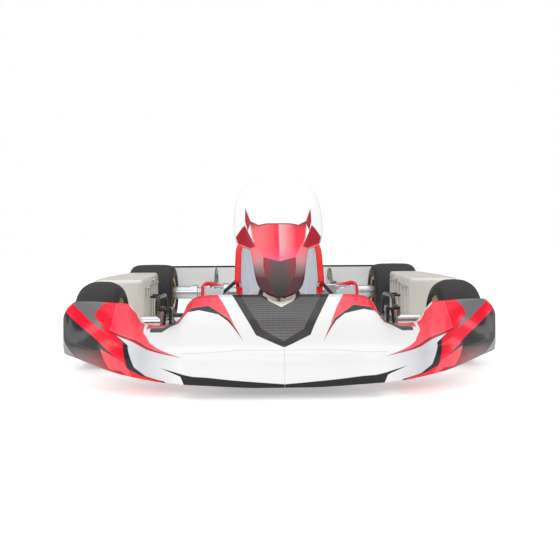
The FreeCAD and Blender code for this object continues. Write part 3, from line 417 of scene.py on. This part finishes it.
for names, finish in (
        (("front_cross_tube", "rail_left", "rail_right", "front_hoop", "seat_cross_tube", "engine_rail",
          "rear_cross_tube", "kingpin_yokes", "column_support", "side_bars", "front_lower_bar",
          "front_upper_bar", "bumper_mounts", "panel_bracket", "seat_stays"), framePaint),
        (("kingpin_bolts", "tie_rod_left", "tie_rod_right", "brake_pushrod", "fasteners",
          "axle_bearings", "stub_axle_left", "stub_axle_right"), brightSteel),
        (("rear_axle",), axleSteel), (("steering_column",), columnSteel),
        (("pedal_brackets",), darkSteel), (("brake_pad_outer", "brake_pad_inner"), padStone),
        (("front_hub_left", "front_hub_right", "rear_hubs", "bearing_carriers", "axle_carriers",
          "engine_plate", "steering_boss", "master_cylinder", "brake_caliper"), castAlloy),
        (("sprocket",), darkSteel),
        (("front_rim_left", "front_rim_right", "rear_rims"), goldAlloy),
        (("side_pod_left", "side_pod_right"), creamPlastic), (("rear_bumper",), bumperPaint()),
        (("throttle_pedal", "brake_pedal"), pedalPaint()), (("seat_trim",), redGloss),
        (("fuel_tank",), tankPlastic),
        (("fuel_cap",), blackPlastic), (("column_bushes",), nylon), (("steering_wheel",), suedePaint()),
        (("floor_tray",), trayPaint()), (("brake_disc",), discPaint()),
        (("seat_shell", "front_fairing", "number_panel", "return_springs"), whitePlastic)):
    for name in names:
        wearFinish(name, finish)
print("finishes on")


# mesh helpers

def addPiece(name, mesh, body, finish, stands=()):
    piece = bpy.data.objects.new(name, mesh)
    scene.collection.objects.link(piece)
    mesh.materials.append(finish)
    mesh.polygons.foreach_set("use_smooth", [True] * len(mesh.polygons))
    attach(piece, body)
    if stands:
        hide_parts(*stands)
    return piece


def gridMesh(name, points, closeU=False, closeV=False):
    # points is rows x columns x 3
    rows, columns = points.shape[:2]
    faces = []
    for i in range(rows if closeU else rows - 1):
        for j in range(columns if closeV else columns - 1):
            a, b = (i + 1) % rows, (j + 1) % columns
            faces.append((i * columns + j, i * columns + b, a * columns + b, a * columns + j))
    mesh = bpy.data.meshes.new(name)
    mesh.from_pydata([tuple(p) for p in points.reshape(-1, 3)], [], faces)
    mesh.validate()
    return mesh


def thicken(piece, depth, offset=-1.0):
    wall = piece.modifiers.new("wall", "SOLIDIFY")
    wall.thickness, wall.offset = depth, offset
    return piece


def evenSpline(knots, values, wanted):
    # monotone cubic through (knot, value) rows, so nothing overshoots; values may be 2-D
    knots, values = np.asarray(knots, float), np.asarray(values, float)
    flat = values.reshape(len(knots), -1)
    gaps = np.diff(knots)[:, None]
    slopes = np.diff(flat, axis=0) / gaps
    tangents = np.zeros_like(flat)
    for k in range(1, len(knots) - 1):
        before, after = slopes[k - 1], slopes[k]
        same = before * after > 0
        share = np.where(same, 2 * before * after / np.where(same, before + after, 1), 0)
        tangents[k] = share
    tangents[-1] = slopes[-1]
    spot = np.clip(np.searchsorted(knots, wanted) - 1, 0, len(knots) - 2)
    span = gaps[spot]
    t = ((np.asarray(wanted) - knots[spot])[:, None]) / span
    result = ((2 * t ** 3 - 3 * t ** 2 + 1) * flat[spot] + (t ** 3 - 2 * t ** 2 + t) * span * tangents[spot]
              + (3 * t ** 2 - 2 * t ** 3) * flat[spot + 1] + (t ** 3 - t ** 2) * span * tangents[spot + 1])
    return result.reshape((len(wanted),) + values.shape[1:])


def roundedOutline(corners, softness, runs=4, arcs=8):
    # corners: ... x corner x 2; each inner corner becomes a smooth bend by its softness
    pieces = []
    count = corners.shape[-2]
    last = corners[..., 0, :]
    for k in range(1, count - 1):
        before, corner, after = corners[..., k - 1, :], corners[..., k, :], corners[..., k + 1, :]
        start = corner + (before - corner) * softness[k - 1]
        end = corner + (after - corner) * softness[k - 1]
        for step in range(runs):
            pieces.append(last + (start - last) * step / runs)
        for step in range(arcs):
            t = step / arcs
            pieces.append(start * (1 - t) ** 2 + corner * 2 * t * (1 - t) + end * t * t)
        last = end
    for step in range(runs + 1):
        pieces.append(last + (corners[..., count - 1, :] - last) * step / runs)
    return np.stack(pieces, axis=-2)


def lathePiece(name, profile, centre, body, finish, stands=(), turns=128, closed=True):
    # a profile of (distance along X, radius) turned about X
    angles = np.linspace(0, 2 * math.pi, turns, endpoint=False)
    profile = np.asarray(profile, float)
    points = np.zeros((turns, len(profile), 3))
    points[..., 0] = centre[0] + profile[None, :, 0]
    points[..., 1] = centre[1] + profile[None, :, 1] * np.cos(angles)[:, None]
    points[..., 2] = centre[2] + profile[None, :, 1] * np.sin(angles)[:, None]
    return addPiece(name, gridMesh(name, points, True, closed), body, finish, stands)


# front fairing: the same outlines as the CAD shell, drawn out into one smooth moulding

fairing = dict(
    wall=0.0034, columns=281, lipTop=0.085, lipDrop=0.018,
    softness=(0.14, 0.44, 0.32, 0.46),         # lower edge, nose, crease, deck
    rows=[      # (distance from the middle, [(distance ahead of the axle, height), ...])
        (0, [(410, 40), (455, 36), (470, 74), (456, 116), (290, 160), (183, 207)]),
        (30, [(410, 40), (455, 36), (470, 74), (456, 116), (288, 160), (172, 213)]),
        (62, [(410, 40), (455, 36), (469, 75), (456, 116), (285, 161), (150, 226)]),
        (130, [(408, 41), (453, 38), (467, 76), (454, 116), (278, 163), (150, 226)]),
        (190, [(402, 43), (447, 40), (461, 78), (449, 116), (272, 164), (153, 226)]),
        (237, [(400, 46), (450, 43), (465, 79), (453, 116), (280, 162), (165, 223)]),
        (263, [(396, 47), (443, 44), (458, 80), (446, 117), (292, 155), (178, 207)]),
        (285, [(390, 48), (438, 45), (453, 81), (441, 117), (305, 146), (192, 165)]),
        (310, [(384, 49), (431, 46), (446, 82), (434, 117), (310, 141), (208, 148)]),
        (345, [(366, 51), (414, 48), (429, 83), (417, 117), (308, 141), (218, 147)]),
        (375, [(350, 52), (398, 49), (413, 84), (401, 118), (305, 145), (222, 152)]),
        (395, [(338, 53), (387, 50), (402, 85), (390, 119), (300, 156), (230, 180)]),
        (420, [(322, 54), (372, 51), (387, 86), (375, 121), (302, 168), (238, 210)]),
        (460, [(296, 57), (342, 54), (357, 89), (345, 125), (290, 172), (240, 214)]),
        (530, [(252, 63), (279, 60), (293, 92), (284, 125), (262, 172), (240, 218)]),
        (560, [(238, 67), (254, 64), (266, 93), (260, 126), (250, 174), (239, 218)]),
        (585, [(226, 70), (236, 67), (246, 92), (242, 124), (236, 166), (231, 203)]),
        (604, [(214, 74), (222, 72), (228, 90), (226, 115), (224, 145), (222, 172)]),
        (612.5, [(192, 80), (198, 78), (203, 88), (202, 98), (201, 106), (200, 112)])])


def fairingPoints():
    across = np.array([row[0] for row in fairing["rows"]], float)
    corners = np.array([row[1] for row in fairing["rows"]], float)
    stations = np.linspace(-across[-1], across[-1], fairing["columns"])
    sections = evenSpline(across, corners, np.abs(stations))
    outline = roundedOutline(sections, fairing["softness"])
    points = np.zeros(outline.shape[:2] + (3,))
    points[..., 0] = stations[:, None] * mm
    points[..., 1] = frontAxle.y - outline[..., 0] * mm
    points[..., 2] = outline[..., 1] * mm
    # the soft lower lip hangs a little under the stiff shell, most of all in the middle
    droop = np.clip((fairing["lipTop"] - points[..., 2]) / fairing["lipTop"], 0, 1) ** 0.7
    ends = np.clip((0.60 - np.abs(points[..., 0])) / 0.25, 0, 1)
    points[..., 2] -= fairing["lipDrop"] * droop * ends
    return points


def weave(paint, x, y, pitch):
    # twill of small raised tows, two directions crossing
    first = paint.math("SINE", (x + y) / pitch * 6.283)
    second = paint.math("SINE", (x - y) / pitch * 6.283)
    return paint.clamp(first * second * 0.5 + 0.5)


livery = dict(      # lines in mm, (distance from the middle, height) where not said otherwise
    white=(0.84, 0.84, 0.85), cloud=(0.79, 0.79, 0.80), shade=(0.50, 0.52, 0.55),
    red=(0.83, 0.006, 0.03), deepRed=(0.45, 0.006, 0.02), pink=(0.93, 0.075, 0.10),
    black=(0.016, 0.016, 0.017), rose=(0.88, 0.03, 0.065), cream=(0.72, 0.68, 0.57),
    grey=(0.16, 0.16, 0.165), midGrey=(0.27, 0.27, 0.28), carbon=(0.055, 0.056, 0.058),
    shieldOuter=[(0, 120), (70, 140), (105, 180), (145, 230)],
    shieldInner=[(0, 130), (55, 150), (90, 190), (120, 230)],
    collarLow=[(0, 195), (35, 210), (60, 240)],
    humpLow=[(100, 130), (145, 165), (175, 180), (230, 190), (260, 185), (285, 155), (320, 140), (350, 140),
             (385, 165)],
    humpMiddle=[(100, 130), (145, 170), (205, 200), (250, 195), (290, 155), (325, 145), (365, 145),
                (385, 165)],
    humpHigh=[(100, 130), (130, 160), (160, 200), (190, 235)],
    tailEdge=[(245, 100), (340, 115), (450, 145)],
    tailLow=[(245, 100), (340, 120), (450, 150)],
    tailHigh=[(245, 100), (335, 125), (365, 140), (385, 160), (400, 185), (420, 210), (430, 240)],
    redEdge=[(40, 300), (50, 355), (65, 390), (105, 400), (125, 405), (150, 450)],      # height first
    blackEdge=[(40, 290), (50, 340), (70, 370), (105, 385), (120, 390), (150, 450)],    # height first
    greyLow=[(445, 135), (520, 170), (590, 225)],
    greyEnd=[(135, 445), (145, 465), (180, 505), (195, 500), (225, 475)],               # height first
    flashLow=[(400, 80), (415, 85), (475, 120), (540, 150), (615, 200)],
    smokeHigh=[(380, 50), (410, 60), (470, 100), (535, 95), (590, 100), (615, 105)],
    flameHigh=[(380, 50), (400, 80), (440, 95), (470, 105)],
    flameLow=[(380, 40), (410, 55), (445, 55), (460, 80), (470, 105)],
    edgeHigh=[(560, 60), (590, 95), (615, 130)],
    beltHigh=[(0, 35), (115, 45), (220, 55), (300, 75)],
    beltLow=[(0, 10), (240, 25), (250, 55), (300, 75)],
    split=[(0, 115), (115, 115), (185, 110), (250, 110)], splitWidth=1,
    # where the hump lies and where the other fields start, in metres from the middle
    hump=(0.100, 0.385),
    starts=dict(spike=0.190, outer=0.450, corner=0.445, cheek=0.400, foot=0.560, collar=0.060, shield=0.145))


def fairingPaint():
    paint = Paint("printed_fairing", Coat_Weight=0.14, Coat_Roughness=0.05, Specular_IOR_Level=0.16)
    x, y, z = paint.axes()
    across = paint.math("ABSOLUTE", x)
    cloud, fine = paint.noise(4.0, 3.0), paint.noise(36.0, 3.0)

    def within(low, high, **more):
        return paint.area(across, z, livery[low], livery[high], **more)

    def below(line, **more):
        return paint.under(across, z, livery[line], **more)

    def beyond(place, soft=0.001):
        return paint.step(across, livery["starts"][place], soft)

    colour = paint.blend(cloud, livery["white"], livery["cloud"])
    # soft shade beside the ends and in the valleys
    shade = paint.band(across, 0.30, 0.40, 0.10) * below("tailLow", soft=0.004) * 0.85
    colour = paint.blend(shade, colour, livery["shade"])
    # hump: a red band with a black under-edge that runs down to a point
    red = paint.blend(paint.step(across, 0.21, 0.09), livery["pink"], livery["red"])
    hump = within("humpLow", "humpMiddle")
    above = (1 - below("humpMiddle")) * paint.band(across, *livery["hump"], 0.0012)
    spike = 1 - (1 - paint.under(across, z, livery["humpHigh"])) * (1 - beyond("spike", 0.0012))
    colour = paint.blend(above * spike, colour, red)
    colour = paint.blend(hump * spike, colour, livery["black"])
    # ends: pink field, grey corner, bright flash, black cheek
    pinkField = within("tailLow", "tailHigh")
    pinkRed = paint.blend(paint.step(across, 0.40, 0.13), livery["pink"], livery["rose"])
    outer = beyond("outer", 0.0012)
    field = paint.clamp(pinkField)
    colour = paint.blend(field, colour, pinkRed)
    lower = paint.most(outer, below("tailLow") * paint.step(across, paint.line(z, livery["redEdge"]), 0.0012))
    pastBlack = paint.step(across, paint.line(z, livery["blackEdge"]), 0.0012)
    line = paint.most(outer, below("tailLow") * pastBlack)
    colour = paint.blend(line * (1 - field), colour, livery["black"])
    colour = paint.blend(lower * (1 - field), colour, livery["red"])
    edge = within("tailEdge", "tailLow")
    colour = paint.blend(edge * (1 - outer), colour, livery["deepRed"])
    cheek = below("flashLow") * beyond("cheek")
    flash = paint.under(across, z, livery["greyLow"]) * outer * (1 - cheek)
    colour = paint.blend(flash, colour, livery["red"])
    corner = (1 - below("greyLow")) * beyond("corner")
    hollow = paint.step(across, paint.line(z, livery["greyEnd"]), 0.0012)
    colour = paint.blend(corner * hollow, colour, livery["grey"])
    colour = paint.blend(cheek, colour, livery["black"])
    smoke = below("smokeHigh") * beyond("cheek")
    smokeTone = paint.blend(paint.step(across, 0.50, 0.16), livery["deepRed"], livery["grey"])
    smokeTone = paint.blend(paint.step(z, 0.085, 0.05), smokeTone, livery["black"])
    colour = paint.blend(smoke * 0.92, colour, smokeTone)
    flame = within("flameLow", "flameHigh")
    colour = paint.blend(flame, colour, livery["pink"])
    colour = paint.blend(below("edgeHigh") * beyond("foot"), colour, livery["midGrey"])
    # middle: shield with its border, cream collar, belt and split line
    inner, outerShield = below("shieldInner", soft=0.001), below("shieldOuter", soft=0.001)
    middle = 1 - beyond("shield")
    cloth = weave(paint, x, z, 0.0095)
    carbon = paint.blend(paint.clamp((cloth - 0.5) * 1.6 + 0.5), livery["grey"], livery["carbon"])
    carbon = paint.blend(paint.step(z, 0.17, 0.09) * 0.55, carbon, livery["black"])
    colour = paint.blend((1 - outerShield) * middle, colour, livery["black"])
    colour = paint.blend((1 - inner) * middle, colour, carbon)
    collar = (1 - below("collarLow")) * (1 - beyond("collar"))
    colour = paint.blend(collar, colour, livery["cream"])
    belt = within("beltLow", "beltHigh")
    colour = paint.blend(belt, colour, livery["black"])
    front = 1 - paint.step(y, -0.80, 0.002)
    splitTop = [(u, v + livery["splitWidth"]) for u, v in livery["split"]]
    split = paint.area(across, z, livery["split"], splitTop, soft=0.0008) * front
    keel = (1 - paint.step(across, 0.0006, 0.0006)) * (1 - paint.step(z, 0.118, 0.001))
    colour = paint.blend((split + keel) * 0.45, colour, livery["midGrey"])
    roughness = 0.2 + (cloud - 0.5) * 0.08 + fine * 0.05
    height = (1 - split) * 0.6 + (1 - inner) * middle * cloth * 0.2 + fine * 0.12
    paint.feed(Base_Color=colour, Roughness=roughness, Normal=paint.bump(height, 0.22, 0.0006))
    return paint.material


fairingSkin = addPiece("fairing_moulding", gridMesh("fairing_moulding", fairingPoints()), "chassis",
                       fairingPaint(), ("front_fairing",))
thicken(fairingSkin, fairing["wall"], 1.0)
print("fairing made")


# number panel

panel = dict(
    wall=0.0035, columns=61, sweep=0.055, fullWidth=0.144, keel=0.014,
    tip=(-0.605, 0.217), top=(-0.230, 0.600),
    rows=[(217, 8), (227, 34), (245, 58), (266, 68), (308, 77), (343, 84), (357, 88), (366, 112),
          (373, 126), (384, 135), (405, 141), (452, 144), (502, 141), (534, 133), (562, 117),
          (580, 92), (591, 66), (600, 22)])


def panelPoints():
    knots = np.array([row[0] for row in panel["rows"]], float) * mm
    widths = np.array([row[1] for row in panel["rows"]], float) * mm
    low, high = knots[0], knots[-1]
    heights = np.concatenate([np.linspace(low, 0.56, 90), high - 0.04 * np.linspace(1, 0, 40)[1:] ** 2])
    half = evenSpline(knots, widths, heights)
    shares = np.linspace(-1, 1, panel["columns"])
    share = (heights - panel["tip"][1]) / (panel["top"][1] - panel["tip"][1])
    middle = panel["tip"][0] + (panel["top"][0] - panel["tip"][0]) * share
    keel = panel["keel"] * np.clip((0.50 - heights) / 0.16, 0, 1)
    x = half[:, None] * shares[None, :]
    bend = (x / panel["fullWidth"]) ** 2 * panel["sweep"]
    ridge = keel[:, None] * np.sqrt((x / 0.09) ** 2 + 0.002)
    points = np.zeros(x.shape + (3,))
    points[..., 0] = x
    points[..., 1] = middle[:, None] + bend + ridge * 0.8
    points[..., 2] = heights[:, None]
    roll = np.array([[0.0012, 0.004, 0], [0.0006, 0.009, 0], [-0.001, 0.013, 0]])
    right = points[:, -1:, :] + roll[None]
    left = points[:, :1, :] + (roll * (-1, 1, 1))[::-1][None]
    return np.concatenate([left, points, right], axis=1)


panelLivery = dict(     # lines in mm, (distance from the middle, height) where not said otherwise
    wave=[(0, 440), (40, 440), (65, 435), (95, 450)],
    fieldLow=[(0, 320), (60, 335)],
    fieldSide=[(320, 45), (335, 50), (370, 70), (390, 85), (450, 95)],            # height first
    blackSide=[(215, 5), (235, 20), (280, 45), (305, 50), (345, 50)],             # height first
    earBlade=[(110, 435), (85, 385), (130, 375), (140, 395), (120, 425)],
    earHook=[(90, 395), (75, 365), (90, 360), (130, 375)],
    spike=[(110, 495), (90, 445), (100, 415), (110, 450)],
    # pale is a painted highlight: the lit side of the upper field beside the ridge
    hot=(0.86, 0.012, 0.045), rose=(0.92, 0.13, 0.15), pale=(0.86, 0.36, 0.40), magenta=(0.90, 0.10, 0.24),
    ink=(0.02, 0.018, 0.019), smoke=(0.12, 0.075, 0.08), ash=(0.42, 0.27, 0.28), maroon=(0.36, 0.008, 0.022),
    wedge=(0.07, 0.012, 0.018))


def panelPaint():
    paint = Paint("printed_panel", Coat_Weight=0.16, Coat_Roughness=0.05, Specular_IOR_Level=0.16)
    x, _, z = paint.axes()
    across = paint.math("ABSOLUTE", x)
    cloud, fine = paint.noise(4.0, 3.0), paint.noise(60.0, 3.0)
    shades = panelLivery
    colour = paint.blend(cloud, (0.86, 0.86, 0.865), (0.80, 0.80, 0.81))
    underWave = paint.under(across, z, shades["wave"]) * (1 - paint.step(across, 0.095, 0.001))
    fieldSide = 1 - paint.step(across, paint.line(z, shades["fieldSide"]), 0.006)
    # sides: rose at the shoulders, ash below, dark wedges at the foot
    sides = paint.blend(paint.step(z, 0.335, 0.07), shades["ash"], shades["rose"])
    sides = paint.blend(1 - paint.step(z, 0.295, 0.05), sides, shades["wedge"])
    colour = paint.blend(1 - paint.step(z, 0.384, 0.012), colour, sides)
    # upper field: hot beside the middle ridge on one side, turning rose further out; on the other side a
    # painted highlight, pale beside the ridge, turning hot further out
    driverRight = paint.blend(paint.step(across, 0.028, 0.05), shades["hot"], shades["rose"])
    litSideField = paint.blend(paint.step(across, 0.030, 0.05), shades["pale"], shades["hot"])
    field = paint.blend(paint.step(x, 0.0, 0.004), driverRight, litSideField)
    field = paint.blend((1 - paint.step(z, 0.345, 0.04)) * 0.7, field, shades["magenta"])
    field = paint.blend(paint.step(z, 0.430, 0.03) * paint.step(across, 0.060, 0.06), field, shades["wedge"])
    aboveLow = 1 - paint.under(across, z, shades["fieldLow"])
    colour = paint.blend(underWave * fieldSide * aboveLow, colour, field)
    ink = underWave * paint.step(z, paint.line(across, shades["wave"]) - 0.003, 0.001)
    colour = paint.blend(ink, colour, shades["ink"])
    # lower field: smoke at the top with warm corners, ink at the foot
    lower = paint.under(across, z, shades["fieldLow"]) * (
        1 - paint.step(across, paint.line(z, shades["blackSide"]), 0.0015))
    warm = paint.blend(paint.step(across, 0.034, 0.03), shades["smoke"], shades["maroon"])
    tone = paint.blend(1 - paint.step(z, 0.275, 0.09), warm, shades["ink"])
    colour = paint.blend(lower, colour, tone)
    for name in ("earBlade", "earHook", "spike"):
        corners = [(u * mm, v * mm) for u, v in shades[name]]
        colour = paint.blend(paint.patch(across, z, corners), colour, shades["maroon"])
    paint.feed(Base_Color=colour, Roughness=0.2 + (cloud - 0.5) * 0.08 + fine * 0.04,
               Normal=paint.bump(fine, 0.1, 0.0003))
    return paint.material


panelSkin = addPiece("panel_moulding", gridMesh("panel_moulding", panelPoints()), "chassis",
                     panelPaint(), ("number_panel",))
thicken(panelSkin, panel["wall"], 1.0)
print("panel made")


# tyres

tyre = dict(bead=0.016, wall=0.009, rim=0.0635, frontTread=0.016, rearTread=0.012)


def tyreProfile(radius, width, shoulders):
    half, rim, wall, bead = width / 2, tyre["rim"], tyre["wall"], tyre["bead"]
    wide, mid, deep = shoulders
    rightSide = [(0.0, radius), (half - wide, radius - 0.0012), (half - mid[0], radius - mid[1]),
                 (half, radius - deep), (half - 0.003, rim + 0.022), (half - bead + 0.0002, rim + 0.015),
                 (half - bead, rim + 0.002), (half - bead - wall, rim + 0.002),
                 (half - bead - wall, rim + 0.017), (half - wall, radius - deep - 0.002),
                 (half - wide - 0.002, radius - wall - 0.004), (0.0, radius - wall)]
    leftSide = [(-x, r) for x, r in rightSide[::-1]]
    corners = np.array(rightSide + leftSide[1:], float)
    return roundedOutline(corners, [0.42] * (len(corners) - 2), 2, 6)[:-1]


def makeTyre(name, x, axle, radius, width, shoulders, body, node, finish):
    piece = lathePiece(name, tyreProfile(radius, width, shoulders), (x, axle.y, axle.z), body, finish,
                       (node,) if node else (), turns=144)
    return piece


frontTyreX, frontTyreWidth, frontTyreR = frontAxle.x, 0.132, frontAxle.z
rearTyreX, rearTyreWidth, rearTyreR = 0.593, 0.214, rearAxle.z
frontRubber = tyrePaint("front_slick", frontAxle, frontTyreR, tyre["frontTread"])
rearRubber = tyrePaint("rear_slick", rearAxle, rearTyreR, tyre["rearTread"])
for side, word in ((1, "left"), (-1, "right")):
    makeTyre("front_slick_" + word, side * frontTyreX, frontAxle, frontTyreR, frontTyreWidth,
             (0.036, (0.008, 0.017), 0.044), "front_wheel_" + word, "front_tyre_" + word, frontRubber)
    rear = makeTyre("rear_slick_" + word, side * rearTyreX, rearAxle, rearTyreR, rearTyreWidth,
                    (0.03, (0.005, 0.014), 0.042), "rear_axle_body", None, rearRubber)
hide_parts("rear_tyres")
print("tyres made")


# seat

seat = dict(
    shift=0.016, wall=0.004, lip=0.028,
    rows=[      # base y, base z, lean of the inward normal, height, half width at base, half width at top
        (-35, 96, -16, 16, 128, 160), (60, 62, -3, 66, 140, 176), (150, 50, 6, 128, 142, 186),
        (228, 70, 33, 176, 140, 190), (282, 132, 60, 178, 138, 192), (316, 212, 68, 152, 144, 193),
        (346, 300, 70, 110, 156, 193), (366, 368, 71, 62, 146, 180), (380, 418, 72, 22, 100, 128)])


def seatRows(count=90):
    rows = np.array(seat["rows"], float)
    run = np.concatenate([[0], np.cumsum(np.hypot(np.diff(rows[:, 0]), np.diff(rows[:, 1])))])
    return evenSpline(run, rows, np.linspace(0, run[-1], count))


def seatPoint(row, u, v):
    y, z, lean = row[0], row[1], math.radians(row[2])
    return (seat["shift"] + u * mm, (y - math.sin(lean) * v) * mm, (z + math.cos(lean) * v) * mm)


def seatPoints():
    points = []
    for row in seatRows():
        height, base, top = row[3], row[4], row[5]
        wallTop = top - seat["lip"] / mm
        side = [(wallTop, height), ((base + wallTop) / 2 + 6, height * 0.42),
                (base - 8, height * 0.1), (base - 46, 0)]
        corners = np.array(side + [(-u, v) for u, v in reversed(side)], float)
        outline = roundedOutline(corners, [0.45] * (len(corners) - 2), 3, 8)
        points.append([seatPoint(row, u, v) for u, v in outline])
    return np.array(points)


def seatPaint():
    # pale gelcoat over glass cloth: a faint square weave and cloudy resin
    paint = Paint("seat_gelcoat", Coat_Weight=0.5, Coat_Roughness=0.12)
    x, y, z = paint.axes()
    cloth = weave(paint, x, z + y, 0.006)
    cloud, swirl = paint.noise(6.0, 4.0), paint.noise(34.0, 5.0, 0.7)
    base = paint.blend(cloud, (0.70, 0.745, 0.82), (0.61, 0.66, 0.75))
    paint.feed(Base_Color=paint.blend(swirl * 0.35, base, (0.83, 0.85, 0.88)),
               Roughness=paint.clamp(0.3 + (cloud - 0.5) * 0.12),
               Normal=paint.bump(cloth * 0.5 + swirl, 0.16, 0.0005))
    return paint.material


seatShell = addPiece("seat_moulding", gridMesh("seat_moulding", seatPoints()), "chassis", seatPaint(),
                     ("seat_shell",))
thicken(seatShell, seat["wall"], 1.0)


def seatEdge(word, side):
    # the wide red edge that rolls over the top of each side
    lip, rows = seat["lip"] / mm, seatRows()
    section = [(-lip - 5, -5), (-lip - 4.5, 1.5), (-lip + 3, 4), (-13, 3.8), (-7, 1.5), (-5.5, -3),
               (-8, -4), (-lip + 2, -1.5), (-lip - 2, -5.5)]
    points = [[seatPoint(row, side * (row[5] + u), row[3] + v) for u, v in section] for row in rows]
    piece = addPiece("seat_edge_" + word, gridMesh("seat_edge_" + word, np.array(points), closeV=True),
                     "chassis", redGloss)
    soften = piece.modifiers.new("round", "SUBSURF")
    soften.levels = soften.render_levels = 1
    return piece


seatEdges = [seatEdge("left", 1), seatEdge("right", -1)]
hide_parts("seat_trim")
print("seat made")


# return springs: wound wire with straight tails on the line of each plain CAD cylinder

spring = dict(coilR=0.0042, wireR=0.0008, turns=19, perTurn=14)


def makeReturnSpring(word, side):
    low, high = [Vector(corner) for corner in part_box("return_springs")]
    start = Vector((side * (high.x - 0.005), low.y + 0.002, low.z + 0.006))
    end = Vector((side * (high.x - 0.005), high.y - 0.002, high.z - 0.006))
    along = (end - start).normalized()
    out = Vector((1, 0, 0))
    up = along.cross(out)
    curve = bpy.data.curves.new("return_spring_" + word, "CURVE")
    curve.dimensions, curve.bevel_depth, curve.bevel_resolution = "3D", spring["wireR"], 2
    count = spring["turns"] * spring["perTurn"]
    route = [start]
    for k in range(count + 1):
        turn = 2 * math.pi * k / spring["perTurn"]
        centre = start.lerp(end, 0.08 + 0.84 * k / count)
        route.append(centre + (out * math.cos(turn) + up * math.sin(turn)) * spring["coilR"])
    route.append(end)
    wire = curve.splines.new("POLY")
    wire.points.add(len(route) - 1)
    for point, place in zip(wire.points, route):
        point.co = (*place, 1)
    curve.materials.append(brightSteel)
    piece = bpy.data.objects.new("return_spring_" + word, curve)
    scene.collection.objects.link(piece)
    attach(piece, "chassis")
    return piece


springs = [makeReturnSpring("left", 1), makeReturnSpring("right", -1)]
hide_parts("return_springs")
print("springs made")
